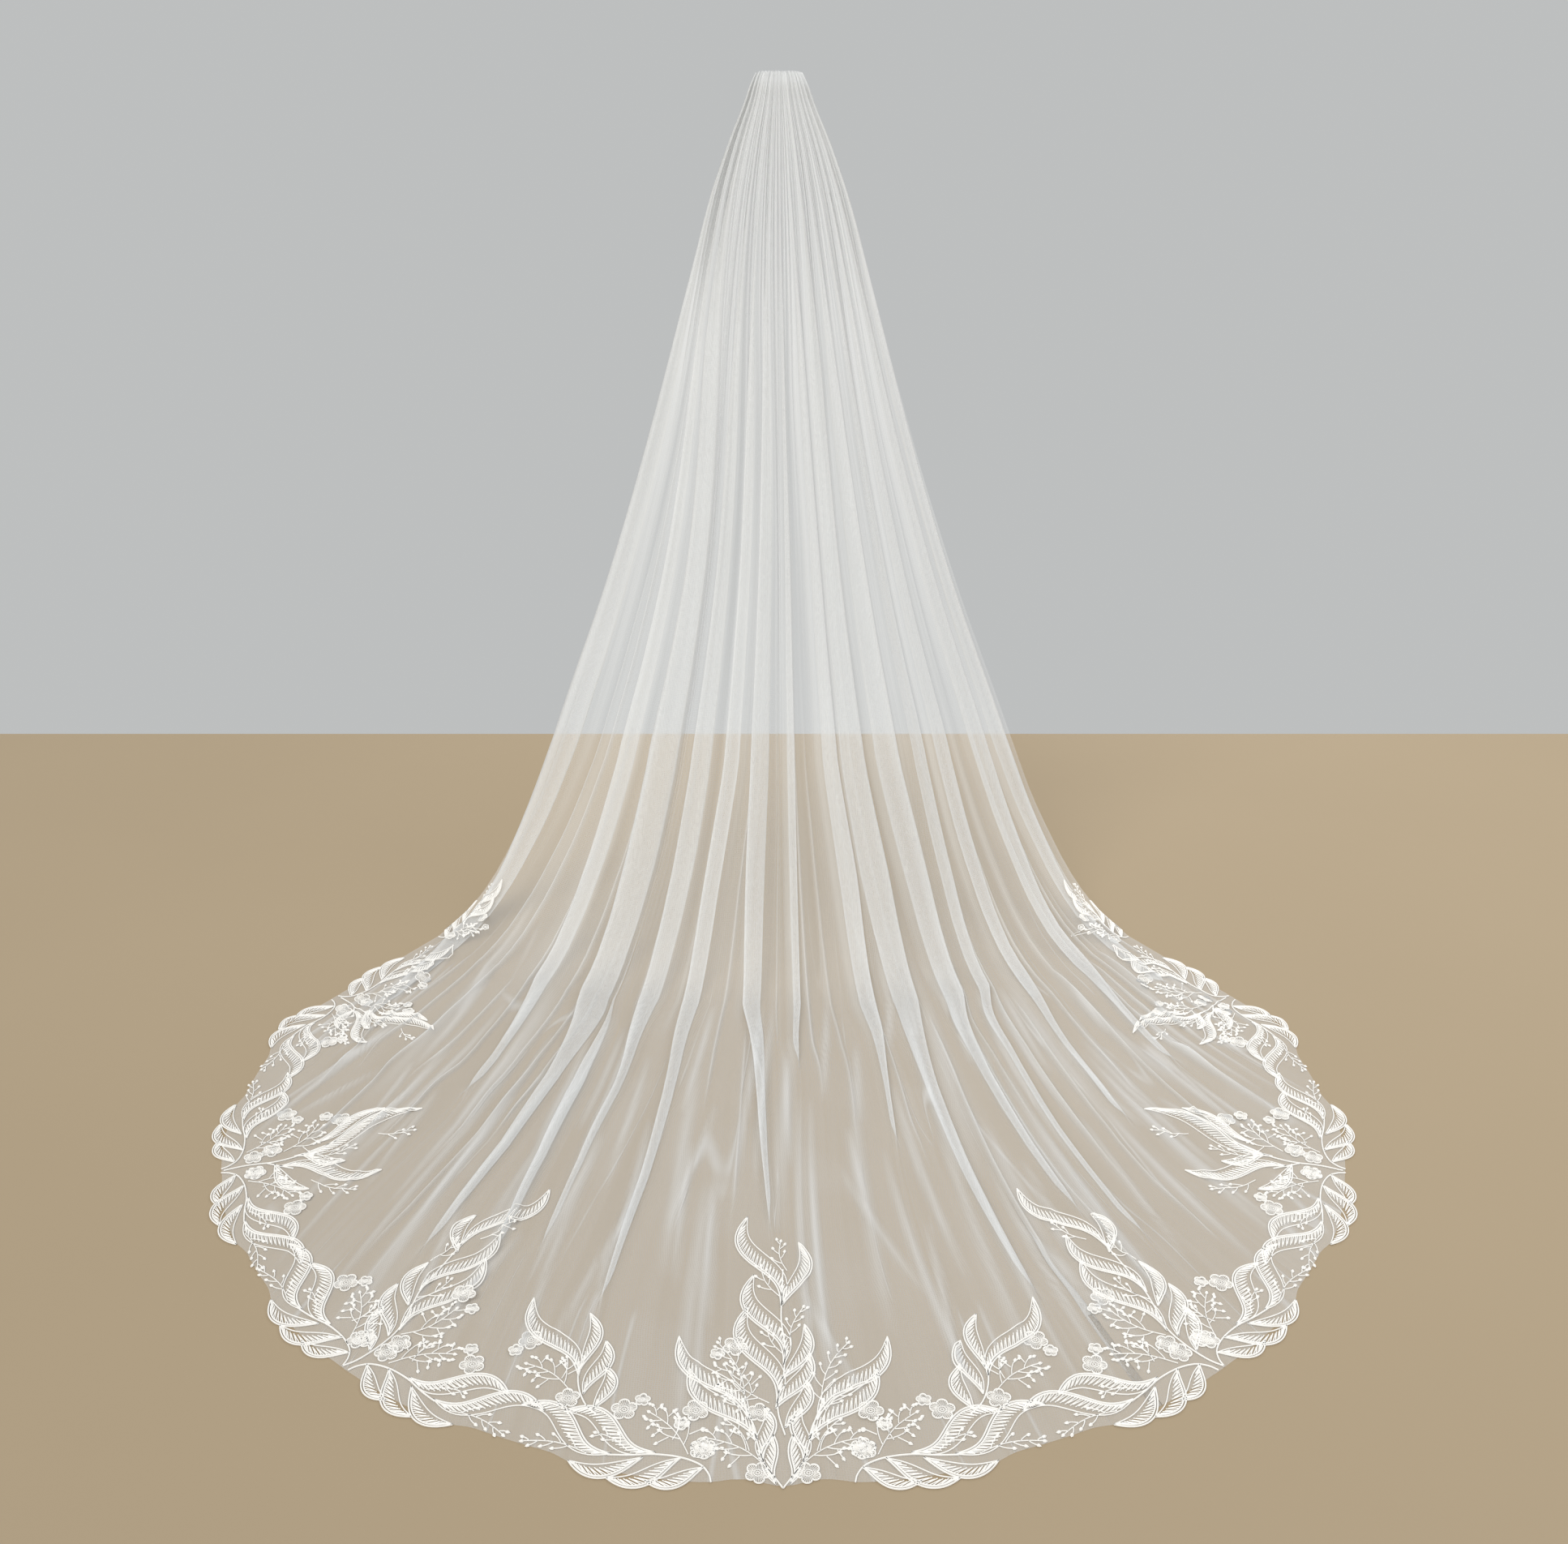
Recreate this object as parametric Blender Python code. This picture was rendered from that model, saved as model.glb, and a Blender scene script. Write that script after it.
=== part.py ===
"""Cathedral bridal veil: one tier of gathered tulle on a hair comb, with a lace hem.

Frame: metres, +Z up, +X to the right, the wearer faces +Y and the train runs
towards -Y.  The origin is the middle of the comb's spine, 1.6 m above the floor.
"""
import math
from collections import namedtuple

import bmesh
import bpy
import numpy as np
from mathutils import Vector
from mathutils.geometry import delaunay_2d_cdt

# Driving sizes
COMB_HEIGHT = 1.600        # comb spine above the floor
WALL = 0.0012              # solid wall that stands for the tulle
SEAM = 0.0003              # clearance between two solids that touch
LACE_WALL = 0.0010         # thickness of an applique motif

# The hem is an ellipse on the floor; its tail end is the end of the train.
HEM_CENTRE_BACK = 1.200    # centre of the ellipse, behind the comb
HEM_HALF_WIDTH = 0.935
HEM_HALF_LENGTH = 0.850
DRIFT = 0.009              # the train lies this far to the right of the comb
HEM_EDGE_ANGLE = 104.0     # degrees round the ellipse at which each side edge ends
HEM_CUBIC = -2.5           # how the cloth's lines crowd towards the edges
HEM_FAN = 47.0             # how they are turned to the right of an even fan
HEM_FAN_ROUND = 0.1
LANDING_REACH = 0.45       # how far the train's lines keep the slope they land with

# Sections of the hanging cloth from the comb to the floor.
# height above the floor, half width, setback of the side edges and of the centre.
Section = namedtuple("Section", "height half_width edge_back centre_back")
SECTIONS = (
    Section(1.597, 0.044, 0.0052, 0.0052),
    Section(1.606, 0.047, 0.0125, 0.0155),
    Section(1.596, 0.053, 0.0210, 0.0310),
    Section(1.550, 0.070, 0.0320, 0.0540),
    Section(1.480, 0.100, 0.0430, 0.0800),
    Section(1.400, 0.130, 0.0590, 0.1090),
    Section(1.200, 0.188, 0.1050, 0.1900),
    Section(1.000, 0.245, 0.1600, 0.2800),
    Section(0.800, 0.307, 0.2200, 0.3750),
    Section(0.600, 0.375, 0.2850, 0.4750),
    Section(0.400, 0.452, 0.3550, 0.5850),
    Section(0.300, 0.490, 0.3960, 0.6430),
    Section(0.200, 0.530, 0.4400, 0.7050),
    Section(0.130, 0.566, 0.4800, 0.7560),
    Section(0.070, 0.602, 0.5290, 0.8090),
    Section(0.020, 0.650, 0.6000, 0.8800),
    Section(0.000, 0.700, 0.6800, 0.9500),
)
SECTION_SPREAD = math.radians(60)   # half angle of each section's arc
TRAIN_ROWS = (0.07, 0.14, 0.22, 0.30, 0.38, 0.46, 0.61, 0.80, 1.0)
NEAR_FLOOR = 14            # the section whose slope starts the train's lines

# Folds, left to right.  A place runs from -1 at the left edge to +1 at the right.
# place: on the hanging cloth, touch: where it meets the floor, train: at its end.
# width and train_width: the strip that lies three layers deep, at knee height
# and at the end.  laid and end: along the length, 0 comb, 1 floor, 2 hem, where the
# fold has been laid over and where it has died out.  lean: the side it is laid to.
Fold = namedtuple("Fold", "place touch train width train_width laid end lean")
FOLDS = (
    Fold(-0.890, -0.880, -0.850, 0.070, 0.045, 0.45, 1.14, -1),
    Fold(-0.570, -0.600, -0.540, 0.053, 0.024, 0.45, 1.29, -1),
    Fold(-0.415, -0.440, -0.370, 0.082, 0.045, 0.45, 1.44, -1),
    Fold(-0.288, -0.315, -0.285, 0.044, 0.026, 0.45, 1.20, -1),
    Fold(-0.231, -0.260, -0.205, 0.030, 0.040, 1.08, 1.60, -1),
    Fold(-0.174, -0.200, -0.175, 0.044, 0.024, 0.45, 1.20, -1),
    Fold(-0.080, -0.060, -0.025, 0.034, 0.030, 0.45, 1.46, -1),
    Fold(0.020, 0.045, 0.060, 0.020, 0.015, 0.45, 1.02, 1),
    Fold(0.140, 0.175, 0.185, 0.048, 0.026, 0.45, 1.16, 1),
    Fold(0.235, 0.270, 0.210, 0.036, 0.036, 0.45, 1.46, 1),
    Fold(0.350, 0.400, 0.355, 0.076, 0.040, 0.45, 1.46, 1),
    Fold(0.470, 0.500, 0.480, 0.028, 0.018, 0.45, 1.24, 1),
    Fold(0.590, 0.620, 0.650, 0.040, 0.028, 0.45, 1.44, 1),
    Fold(0.710, 0.770, 0.760, 0.034, 0.020, 0.45, 1.30, 1),
    Fold(0.900, 0.890, 0.890, 0.040, 0.024, 0.45, 1.06, 1),
)
KNEE = 0.78                # the length at which a fold's width is given
FADE = 0.16                # a fold dies out over this length
TURN_OVER = 0.45           # and is turned over from a standing gather over this one
HOLD_STRENGTH = 3000.0     # how firmly a fold keeps its points together
STRIP_GAP = 0.0065         # least gap between two laid strips
CREST_SHARE = 0.38         # height of a laid fold's crest for its strip's width
CREST_LEAST = 0.0085
CREST_MOST = 0.022
CREST_ON_FLOOR = 0.0095    # the folds press down to this as they reach the floor
SETTLE_FROM = 0.86
NOSE = 0.30                # share of that height in the turn at the crest
FOOT_SHARE = 0.6           # reach of the foot for the strip's width
FOOT_MORE = 0.005
FOOT_CLEAR = 0.0025        # and its distance from the next strip
GATHER_AT_COMB = 0.0020    # height of the standing gathers where they are sewn
GATHER_GROWTH = 0.040      # and how they rise down the length
GATHER_HEIGHT = 0.011
GATHER_SPAN = 0.25         # half a gather's span, as a share of their spacing
FLAT_SPAN = 0.10           # the same where a fold has died out
# A standing gather's section: along as a share of half its span, out of its height.
WAVE = ((-1.0, 0.0), (-0.68, 0.5), (-0.36, 1.0), (0.36, 1.0), (0.68, 0.5), (1.0, 0.0))

COMB_WIDTH = 0.085
COMB_SPINE = 0.005
COMB_THICK = 0.004
COMB_TEETH = 14
TOOTH_LENGTH = 0.038
TOOTH_WIDTH = 0.0024

# Lace stems on the right half.  Angles are round the hem's ellipse from its tail
# end, insets are inwards from the hem.  bend: sideways bow of the stem, first: the
# side of the first leaf, sway: how far a leaf swings out (radians), bloom: the place
# of a flower along the stem, or 0 for none.
Stem = namedtuple("Stem", "motif angle inset tip_angle tip_inset bend first leaves length width sway bloom")
STEMS = (
    Stem("centre", 0.4, 0.020, 5.4, 0.120, -0.012, 1, 3, 0.155, 0.029, 0.80, 0.30),
    Stem("front", 22.3, 0.066, 13.2, 0.026, -0.006, 1, 4, 0.125, 0.026, 0.45, 0.0),
    Stem("small", 16.6, 0.112, 20.0, 0.165, 0.006, -1, 3, 0.135, 0.028, 0.70, 0.25),
    Stem("corner", 39.2, 0.026, 46.0, 0.310, 0.020, 1, 6, 0.160, 0.029, 0.60, 0.12),
    Stem("corner", 39.2, 0.026, 29.5, 0.050, -0.014, 1, 4, 0.140, 0.028, 0.60, 0.0),
    Stem("corner", 39.2, 0.026, 52.0, 0.056, 0.014, 1, 4, 0.140, 0.028, 0.70, 0.0),
    Stem("side", 75.0, 0.026, 63.5, 0.040, -0.014, 1, 4, 0.135, 0.027, 0.60, 0.0),
    Stem("side", 75.0, 0.026, 79.5, 0.210, 0.014, 1, 4, 0.150, 0.028, 0.60, 0.12),
    Stem("side", 75.0, 0.026, 87.5, 0.040, 0.014, -1, 4, 0.130, 0.027, 0.60, 0.0),
    Stem("upper", 110.0, 0.040, 100.5, 0.036, -0.012, 1, 3, 0.120, 0.026, 0.60, 0.0),
    Stem("upper", 110.0, 0.040, 107.0, 0.160, 0.012, -1, 3, 0.130, 0.027, 0.60, 0.25),
    Stem("upper", 110.0, 0.040, 121.0, 0.060, 0.006, 1, 3, 0.090, 0.022, 0.45, 0.0),
)
CENTRE_STEM = Stem("centre", 0.0, 0.020, -3.2, 0.380, 0.010, 1, 8, 0.160, 0.029, 0.55, 0.14)
STEM_WIDTH = 0.0050
FLOWER_RADIUS = 0.017
LACE_MARGIN = 0.004        # the lace stays this far inside the tulle's edges
SQUEEZE_FROM = 0.955       # and is drawn in from this share of the way to them

IVORY_TULLE = (0.86, 0.85, 0.82, 1.0)
IVORY_LACE = (0.92, 0.91, 0.88, 1.0)
CLEAR_RESIN = (0.80, 0.80, 0.78, 1.0)


# The base surface
def smooth(value):
    """Ease from 0 to 1."""
    value = min(1.0, max(0.0, value))
    return value * value * (3.0 - 2.0 * value)


def section_arc(place, half_width, centre_back, edge_back):
    """Plan of one section: an arc from edge to edge, furthest back in the middle."""
    x = half_width * np.sin(place * SECTION_SPREAD) / math.sin(SECTION_SPREAD)
    sweep = (1.0 - np.cos(place * SECTION_SPREAD)) / (1.0 - math.cos(SECTION_SPREAD))
    y = -(centre_back - (centre_back - edge_back) * sweep)
    return np.stack([x, y], axis=-1)


def hem_angle(place):
    """Angle round the hem at which the cloth's line through this place ends."""
    rounded = np.sqrt(place * place + HEM_FAN_ROUND ** 2) - HEM_FAN_ROUND
    fan = HEM_FAN * rounded * (1.0 - np.abs(place))
    return np.radians(HEM_EDGE_ANGLE * place + HEM_CUBIC * (place ** 3 - place) + fan)


def hem_point(angle, inset):
    """A point of the plan at this angle (radians) and this far inside the hem."""
    x = DRIFT + (HEM_HALF_WIDTH - inset) * np.sin(angle)
    y = -HEM_CENTRE_BACK - (HEM_HALF_LENGTH - inset) * np.cos(angle)
    return np.stack([x, y], axis=-1)


def hanging_row(place, section):
    """Points of the hanging cloth's middle surface at one section."""
    plan = section_arc(place, section.half_width, section.centre_back, section.edge_back)
    plan[:, 0] += DRIFT * (1.0 - section.height / COMB_HEIGHT)
    height = max(section.height, WALL / 2) - COMB_HEIGHT
    return np.column_stack([plan, np.full(len(plan), height)])


def train_row(place, fraction):
    """Points of the train at a fraction of the way from where it lands to the hem."""
    landing = hanging_row(place, SECTIONS[-1])[:, :2]
    before = hanging_row(place, SECTIONS[NEAR_FLOOR])[:, :2]
    hem = hem_point(hem_angle(place), 0.0)
    heading = landing - before
    heading /= np.linalg.norm(heading, axis=1, keepdims=True)
    reach = np.linalg.norm(hem - landing, axis=1, keepdims=True)
    middle = landing + LANDING_REACH * reach * heading
    plan = (1 - fraction) ** 2 * landing
    plan = plan + 2 * fraction * (1 - fraction) * middle + fraction ** 2 * hem
    height = WALL / 2 - COMB_HEIGHT
    return np.column_stack([plan, np.full(len(plan), height)])


def length_stations():
    """Every row of the panel: its station (0 comb, 1 floor, 2 hem) and its curve."""
    rows = []
    for section in SECTIONS:
        station = 1.0 - section.height / COMB_HEIGHT
        rows.append((max(0.0, station), lambda place, s=section: hanging_row(place, s)))
    for fraction in TRAIN_ROWS:
        rows.append((1.0 + fraction, lambda place, f=fraction: train_row(place, f)))
    return rows


# The folds
def fold_centre(fold, index, station):
    """Place of a fold's middle at a station: even at the comb, as tabled lower down."""
    even = -1.0 + 2.0 * (index + 0.5) / len(FOLDS)
    if station <= KNEE:
        return even + (fold.place - even) * smooth(station / 0.6)
    if station <= 1.0:
        return fold.place + (fold.touch - fold.place) * (station - KNEE) / (1.0 - KNEE)
    run = min(1.0, (station - 1.0) / max(0.05, fold.end - 1.0))
    return fold.touch + (fold.train - fold.touch) * run


def gather_height(station):
    """Height of a standing gather."""
    return min(GATHER_HEIGHT, GATHER_AT_COMB + GATHER_GROWTH * station)


def fold_width(fold, station, row_length, knee_length):
    """Width of the strip that lies over."""
    width = fold.width * min(1.0, row_length / knee_length)
    run = min(1.0, max(0.0, (station - KNEE) / max(0.05, fold.end - KNEE)))
    return width + (fold.train_width - fold.width) * run


def fold_points(station, width, laid, alive, foot, half):
    """Section of one fold as (along, out) pairs.

    A laid fold climbs from its foot, turns over at the crest, comes back under
    itself and turns again at the root.  A standing one is a plain wave.
    """
    hung = 1.0 - smooth((station - SETTLE_FROM) / (1.0 - SETTLE_FROM))
    depth = min(CREST_MOST, max(CREST_LEAST, CREST_SHARE * width))
    depth = CREST_ON_FLOOR + hung * (depth - CREST_ON_FLOOR)
    nose = NOSE * depth
    turn = 0.4 * nose
    lying = np.array([
        (-foot, 0.0),
        (-0.3 * foot, 0.72 * depth),
        (width - turn, depth),
        (width, depth - nose),
        (0.0, nose),
        (turn, 0.0),
    ])
    upright = 1.0 - smooth(station / TURN_OVER)
    height = gather_height(station) * alive * (1.0 - (1.0 - upright) * (1.0 - laid))
    standing = np.array(WAVE) * (half, height)
    standing[:, 0] += 0.5 * width * laid
    return standing + (lying - standing) * laid


def row_profile(station, row_length, knee_length):
    """The whole section of the panel at one station, as (along, out) pairs."""
    count = len(FOLDS)
    centres = np.array([fold_centre(fold, k, station) for k, fold in enumerate(FOLDS)])
    centres = 0.5 * (centres + 1.0) * row_length
    mirrored = np.concatenate([[-centres[0]], centres, [2 * row_length - centres[-1]]])
    spacing = np.diff(mirrored)
    upright = 1.0 - smooth(station / TURN_OVER)
    alive = [1.0 - smooth((station - fold.end + FADE) / FADE) for fold in FOLDS]
    laid = [smooth((station - fold.laid + TURN_OVER) / TURN_OVER) * alive[k]
            for k, fold in enumerate(FOLDS)]
    half = np.minimum(spacing[:-1], spacing[1:])
    half = half * (FLAT_SPAN + (GATHER_SPAN - FLAT_SPAN) * upright)
    widths = np.array([fold_width(fold, station, row_length, knee_length) for fold in FOLDS])
    reach = 0.5 * widths * laid + half * (1.0 - np.array(laid))
    for k in range(count - 1):
        excess = min(reach[k] * laid[k] + reach[k + 1] * laid[k + 1],
                     reach[k] + reach[k + 1] + STRIP_GAP - spacing[k + 1])
        if excess > 0.0:
            share = laid[k] * reach[k] / (laid[k] * reach[k] + laid[k + 1] * reach[k + 1])
            widths[k] *= 1.0 - excess * share / reach[k]
            widths[k + 1] *= 1.0 - excess * (1.0 - share) / reach[k + 1]
    reach = 0.5 * widths * laid + half * (1.0 - np.array(laid))
    profile = [(0.0, 0.0)]
    hold = [1.0]
    for k, fold in enumerate(FOLDS):
        other = k - fold.lean
        gap = spacing[k if fold.lean > 0 else k + 1] - reach[k]
        if 0 <= other < count:
            gap = gap - reach[other]
            if FOLDS[other].lean != fold.lean:
                gap = 0.5 * gap
        foot = min(FOOT_SHARE * widths[k] + FOOT_MORE, gap - FOOT_CLEAR)
        section = fold_points(station, widths[k], laid[k], alive[k], foot, half[k])
        section[:, 0] = centres[k] + fold.lean * (section[:, 0] - 0.5 * widths[k] * laid[k])
        section = section[::fold.lean]
        middle = 0.5 * (profile[-1][0] + section[0][0])
        profile.append((middle, gather_height(station) * upright if k else 0.0))
        hold.append(0.0)
        profile.extend(tuple(point) for point in section)
        hold.extend([1.0 - smooth((station - fold.end) / FADE)] * len(section))
    profile.append((0.5 * (profile[-1][0] + row_length), 0.0))
    profile.append((row_length, 0.0))
    hold += [0.0, 1.0]
    return spread(np.array(profile), np.array(hold))


def spread(profile, hold):
    """Space the points evenly where nothing holds them, so that flat cloth stays even."""
    count = len(profile)
    matrix = np.zeros((count, count))
    for k in range(count - 1):
        matrix[k:k + 2, k:k + 2] += ((1.0, -1.0), (-1.0, 1.0))
    pull = HOLD_STRENGTH * hold ** 4
    matrix += np.diag(pull)
    profile[:, 0] = np.linalg.solve(matrix, pull * profile[:, 0])
    return profile


def mitres(profile):
    """Offset direction at each point of a section, so that the wall keeps its thickness."""
    steps = np.diff(profile, axis=0)
    steps /= np.linalg.norm(steps, axis=1, keepdims=True)
    normals = np.column_stack([-steps[:, 1], steps[:, 0]])
    before = np.vstack([normals[:1], normals])
    after = np.vstack([normals, normals[-1:]])
    cosine = np.sum(before * after, axis=1, keepdims=True)
    return (before + after) / np.maximum(1.0 + cosine, 0.35)


def panel_grids():
    """Outer and inner points of the panel's wall, one row of points for each station."""
    dense = np.linspace(-1.0, 1.0, 801)
    rows = length_stations()
    curves = [curve(dense) for _, curve in rows]
    lengths = []
    for curve in curves:
        run = np.linalg.norm(np.diff(curve, axis=0), axis=1)
        lengths.append(np.concatenate([[0.0], np.cumsum(run)]))
    stations = [station for station, _ in rows]
    knee_length = float(np.interp(KNEE, stations[:len(SECTIONS)],
                                  [length[-1] for length in lengths[:len(SECTIONS)]]))
    outer = []
    inner = []
    for k, station in enumerate(stations):
        down = curves[min(k + 1, len(rows) - 1)] - curves[max(k - 1, 0)]
        across = np.gradient(curves[k], axis=0)
        across /= np.linalg.norm(across, axis=1, keepdims=True)
        out = np.cross(down, across)
        out /= np.linalg.norm(out, axis=1, keepdims=True)
        if station >= 1.0:
            out[:] = (0.0, 0.0, 1.0)
        total = lengths[k][-1]
        profile = row_profile(station, total, knee_length)
        along = np.clip(profile[:, 0], 0.0, total)
        base = np.column_stack([np.interp(along, lengths[k], curves[k][:, a]) for a in range(3)])
        side = np.column_stack([np.interp(along, lengths[k], across[:, a]) for a in range(3)])
        up = np.column_stack([np.interp(along, lengths[k], out[:, a]) for a in range(3)])
        base += side * (profile[:, :1] - along[:, None])
        middle = base + up * profile[:, 1:]
        offset = mitres(profile) * WALL / 2
        step = side * offset[:, :1] + up * offset[:, 1:]
        outer.append(middle + step)
        inner.append(middle - step)
    return np.array(outer), np.array(inner)


# Mesh helpers
def new_object(name, mesh, colour, roughness, collection):
    """Wrap a mesh in an object with its own Principled material."""
    material = bpy.data.materials.new(name + "_material")
    material.use_nodes = True
    shader = material.node_tree.nodes["Principled BSDF"]
    shader.inputs["Base Color"].default_value = colour
    shader.inputs["Roughness"].default_value = roughness
    shader.inputs["Metallic"].default_value = 0.0
    material.diffuse_color = colour
    obj = bpy.data.objects.new(name, mesh)
    mesh.materials.clear()
    mesh.materials.append(material)
    collection.objects.link(obj)
    return obj


def wall_mesh(name, outer, inner):
    """Close two matching grids of points into one wall."""
    rows, columns = outer.shape[:2]
    points = np.concatenate([outer.reshape(-1, 3), inner.reshape(-1, 3)])
    back = rows * columns

    def at(row, column):
        return row * columns + column

    faces = []
    for r in range(rows - 1):
        for c in range(columns - 1):
            a, b = at(r, c), at(r, c + 1)
            d, e = at(r + 1, c), at(r + 1, c + 1)
            faces += [(a, d, e), (a, e, b)]
            faces += [(back + a, back + e, back + d), (back + a, back + b, back + e)]
    for c in range(columns - 1):
        for row, turn in ((0, 1), (rows - 1, -1)):
            a, b = at(row, c), at(row, c + 1)
            faces.append((a, b, back + b, back + a)[::turn])
    for r in range(rows - 1):
        for column, turn in ((0, -1), (columns - 1, 1)):
            a, b = at(r, column), at(r + 1, column)
            faces.append((a, b, back + b, back + a)[::turn])
    mesh = bpy.data.meshes.new(name)
    mesh.from_pydata([tuple(p) for p in points], [], faces)
    mesh.validate()
    face_out(mesh)
    return mesh


def face_out(mesh):
    """Turn every face outwards."""
    work = bmesh.new()
    work.from_mesh(mesh)
    bmesh.ops.recalc_face_normals(work, faces=work.faces)
    if work.calc_volume(signed=True) < 0:
        bmesh.ops.reverse_faces(work, faces=work.faces)
    work.to_mesh(mesh)
    work.free()


# Comb
def comb_mesh():
    """A straight comb: a spine with even teeth, cut from one outline."""
    half = COMB_WIDTH / 2
    pitch = (COMB_WIDTH - TOOTH_WIDTH) / (COMB_TEETH - 1)
    outline = [(-half, COMB_SPINE / 2)]
    for k in range(COMB_TEETH):
        left = -half + k * pitch
        right = left + TOOTH_WIDTH
        if k:
            outline.append((left, -COMB_SPINE / 2))
        outline.append((left + 0.0003, -COMB_SPINE / 2 - TOOTH_LENGTH + 0.002))
        outline.append((left + TOOTH_WIDTH / 2, -COMB_SPINE / 2 - TOOTH_LENGTH))
        outline.append((right - 0.0003, -COMB_SPINE / 2 - TOOTH_LENGTH + 0.002))
        if k < COMB_TEETH - 1:
            outline.append((right, -COMB_SPINE / 2))
    outline.append((half, COMB_SPINE / 2))
    curve = bpy.data.curves.new("comb_outline", "CURVE")
    curve.dimensions = "2D"
    curve.fill_mode = "BOTH"
    curve.extrude = COMB_THICK / 2
    spline = curve.splines.new("POLY")
    spline.points.add(len(outline) - 1)
    for point, (x, z) in zip(spline.points, outline):
        point.co = (x, z, 0.0, 1.0)
    spline.use_cyclic_u = True
    guide = bpy.data.objects.new("comb_outline", curve)
    bpy.context.scene.collection.objects.link(guide)
    guide.rotation_euler = (math.radians(90), 0.0, 0.0)
    bpy.context.view_layer.update()
    depsgraph = bpy.context.evaluated_depsgraph_get()
    mesh = bpy.data.meshes.new_from_object(guide.evaluated_get(depsgraph))
    mesh.transform(guide.matrix_world)
    bpy.data.objects.remove(guide)
    work = bmesh.new()
    work.from_mesh(mesh)
    bmesh.ops.remove_doubles(work, verts=work.verts, dist=0.00001)
    work.to_mesh(mesh)
    work.free()
    face_out(mesh)
    return mesh


# Lace
def leaf_outline(base, heading, length, width, side, sway):
    """An S-shaped blade: it leaves along the stem, swings out and turns up at the tip."""
    steps = 4
    point = np.array(base, float)
    full = []
    flat = []
    for k in range(steps):
        u = (k + 0.5) / steps
        angle = heading + side * sway * math.sin(math.pi * u)
        direction = np.array([math.cos(angle), math.sin(angle)])
        point = point + direction * length / steps
        if k < steps - 1:
            u = (k + 1) / steps
            normal = np.array([-direction[1], direction[0]]) * side
            swell = math.sin(math.pi * u ** 0.85)
            full.append(point + normal * width * 0.60 * swell)
            flat.append(point - normal * width * 0.40 * swell)
    return [np.array(base, float)] + full + [point] + flat[::-1]


def flower_outline(centre, radius, turn):
    """Five petals as one outline."""
    outline = []
    for k in range(10):
        angle = turn + 2 * math.pi * k / 10
        reach = radius * (0.70 if k % 2 == 0 else 1.0)
        outline.append(centre + reach * np.array([math.cos(angle), math.sin(angle)]))
    return outline


def stem_points(stem, mirror):
    """Points along a stem's bowed line in plan."""
    base = hem_point(math.radians(stem.angle), stem.inset)
    tip = hem_point(math.radians(stem.tip_angle), stem.tip_inset)
    line = tip - base
    across = np.array([-line[1], line[0]]) / np.linalg.norm(line)
    points = []
    for u in np.linspace(0.0, 1.0, 4):
        points.append(base + line * u + across * stem.bend * 4.0 * u * (1.0 - u))
    points = np.array(points)
    if mirror < 0:
        points[:, 0] = 2 * DRIFT - points[:, 0]
    return points


def squeeze(ratio):
    """Bring a ratio that nears 1 back below it without a step."""
    if ratio <= SQUEEZE_FROM:
        return ratio
    rest = 1.0 - SQUEEZE_FROM
    return SQUEEZE_FROM + rest * math.tanh((ratio - SQUEEZE_FROM) / rest)


def inside_edges(point, side_edge):
    """Move a point that has come too near the hem or a side edge back onto the tulle."""
    x, y = point[0] - DRIFT, point[1] + HEM_CENTRE_BACK
    reach = math.hypot(x / (HEM_HALF_WIDTH - LACE_MARGIN), y / (HEM_HALF_LENGTH - LACE_MARGIN))
    x, y = np.array((x, y)) * squeeze(reach) / reach
    back = HEM_CENTRE_BACK - y
    if back < side_edge[-1, 1]:
        most = np.interp(back, side_edge[:, 1], side_edge[:, 0]) - LACE_MARGIN
        x = math.copysign(most * squeeze(abs(x) / most), x)
    return np.array([DRIFT + x, -back])


def stem_shapes(stem, mirror=1):
    """Outlines of one stem, its leaves and its flower."""
    points = stem_points(stem, mirror)
    fractions = np.linspace(0.0, 1.0, len(points))
    tangent = np.gradient(points, axis=0)
    tangent /= np.linalg.norm(tangent, axis=1, keepdims=True)
    normal = np.column_stack([-tangent[:, 1], tangent[:, 0]])
    taper = STEM_WIDTH / 2 * (1.0 - 0.5 * fractions)[:, None]
    shapes = [list(points + normal * taper) + list((points - normal * taper)[::-1])]

    def at(u):
        place = [np.interp(u, fractions, points[:, a]) for a in range(2)]
        direction = [np.interp(u, fractions, tangent[:, a]) for a in range(2)]
        return np.array(place), math.atan2(direction[1], direction[0])

    side = stem.first * mirror
    for k in range(stem.leaves + 1):
        u = min(0.96, (k + 0.15) / stem.leaves)
        place, angle = at(u)
        grown = stem.length * (0.80 + 0.28 * math.sin(math.pi * min(u, 0.8)))
        shapes.append(leaf_outline(place, angle, grown, stem.width, side, stem.sway))
        side = -side
    if stem.bloom:
        place, angle = at(stem.bloom)
        aside = angle - stem.first * mirror * math.radians(90)
        centre = place + FLOWER_RADIUS * np.array([math.cos(aside), math.sin(aside)])
        shapes.append(flower_outline(centre, FLOWER_RADIUS, angle))
    return shapes


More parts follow.
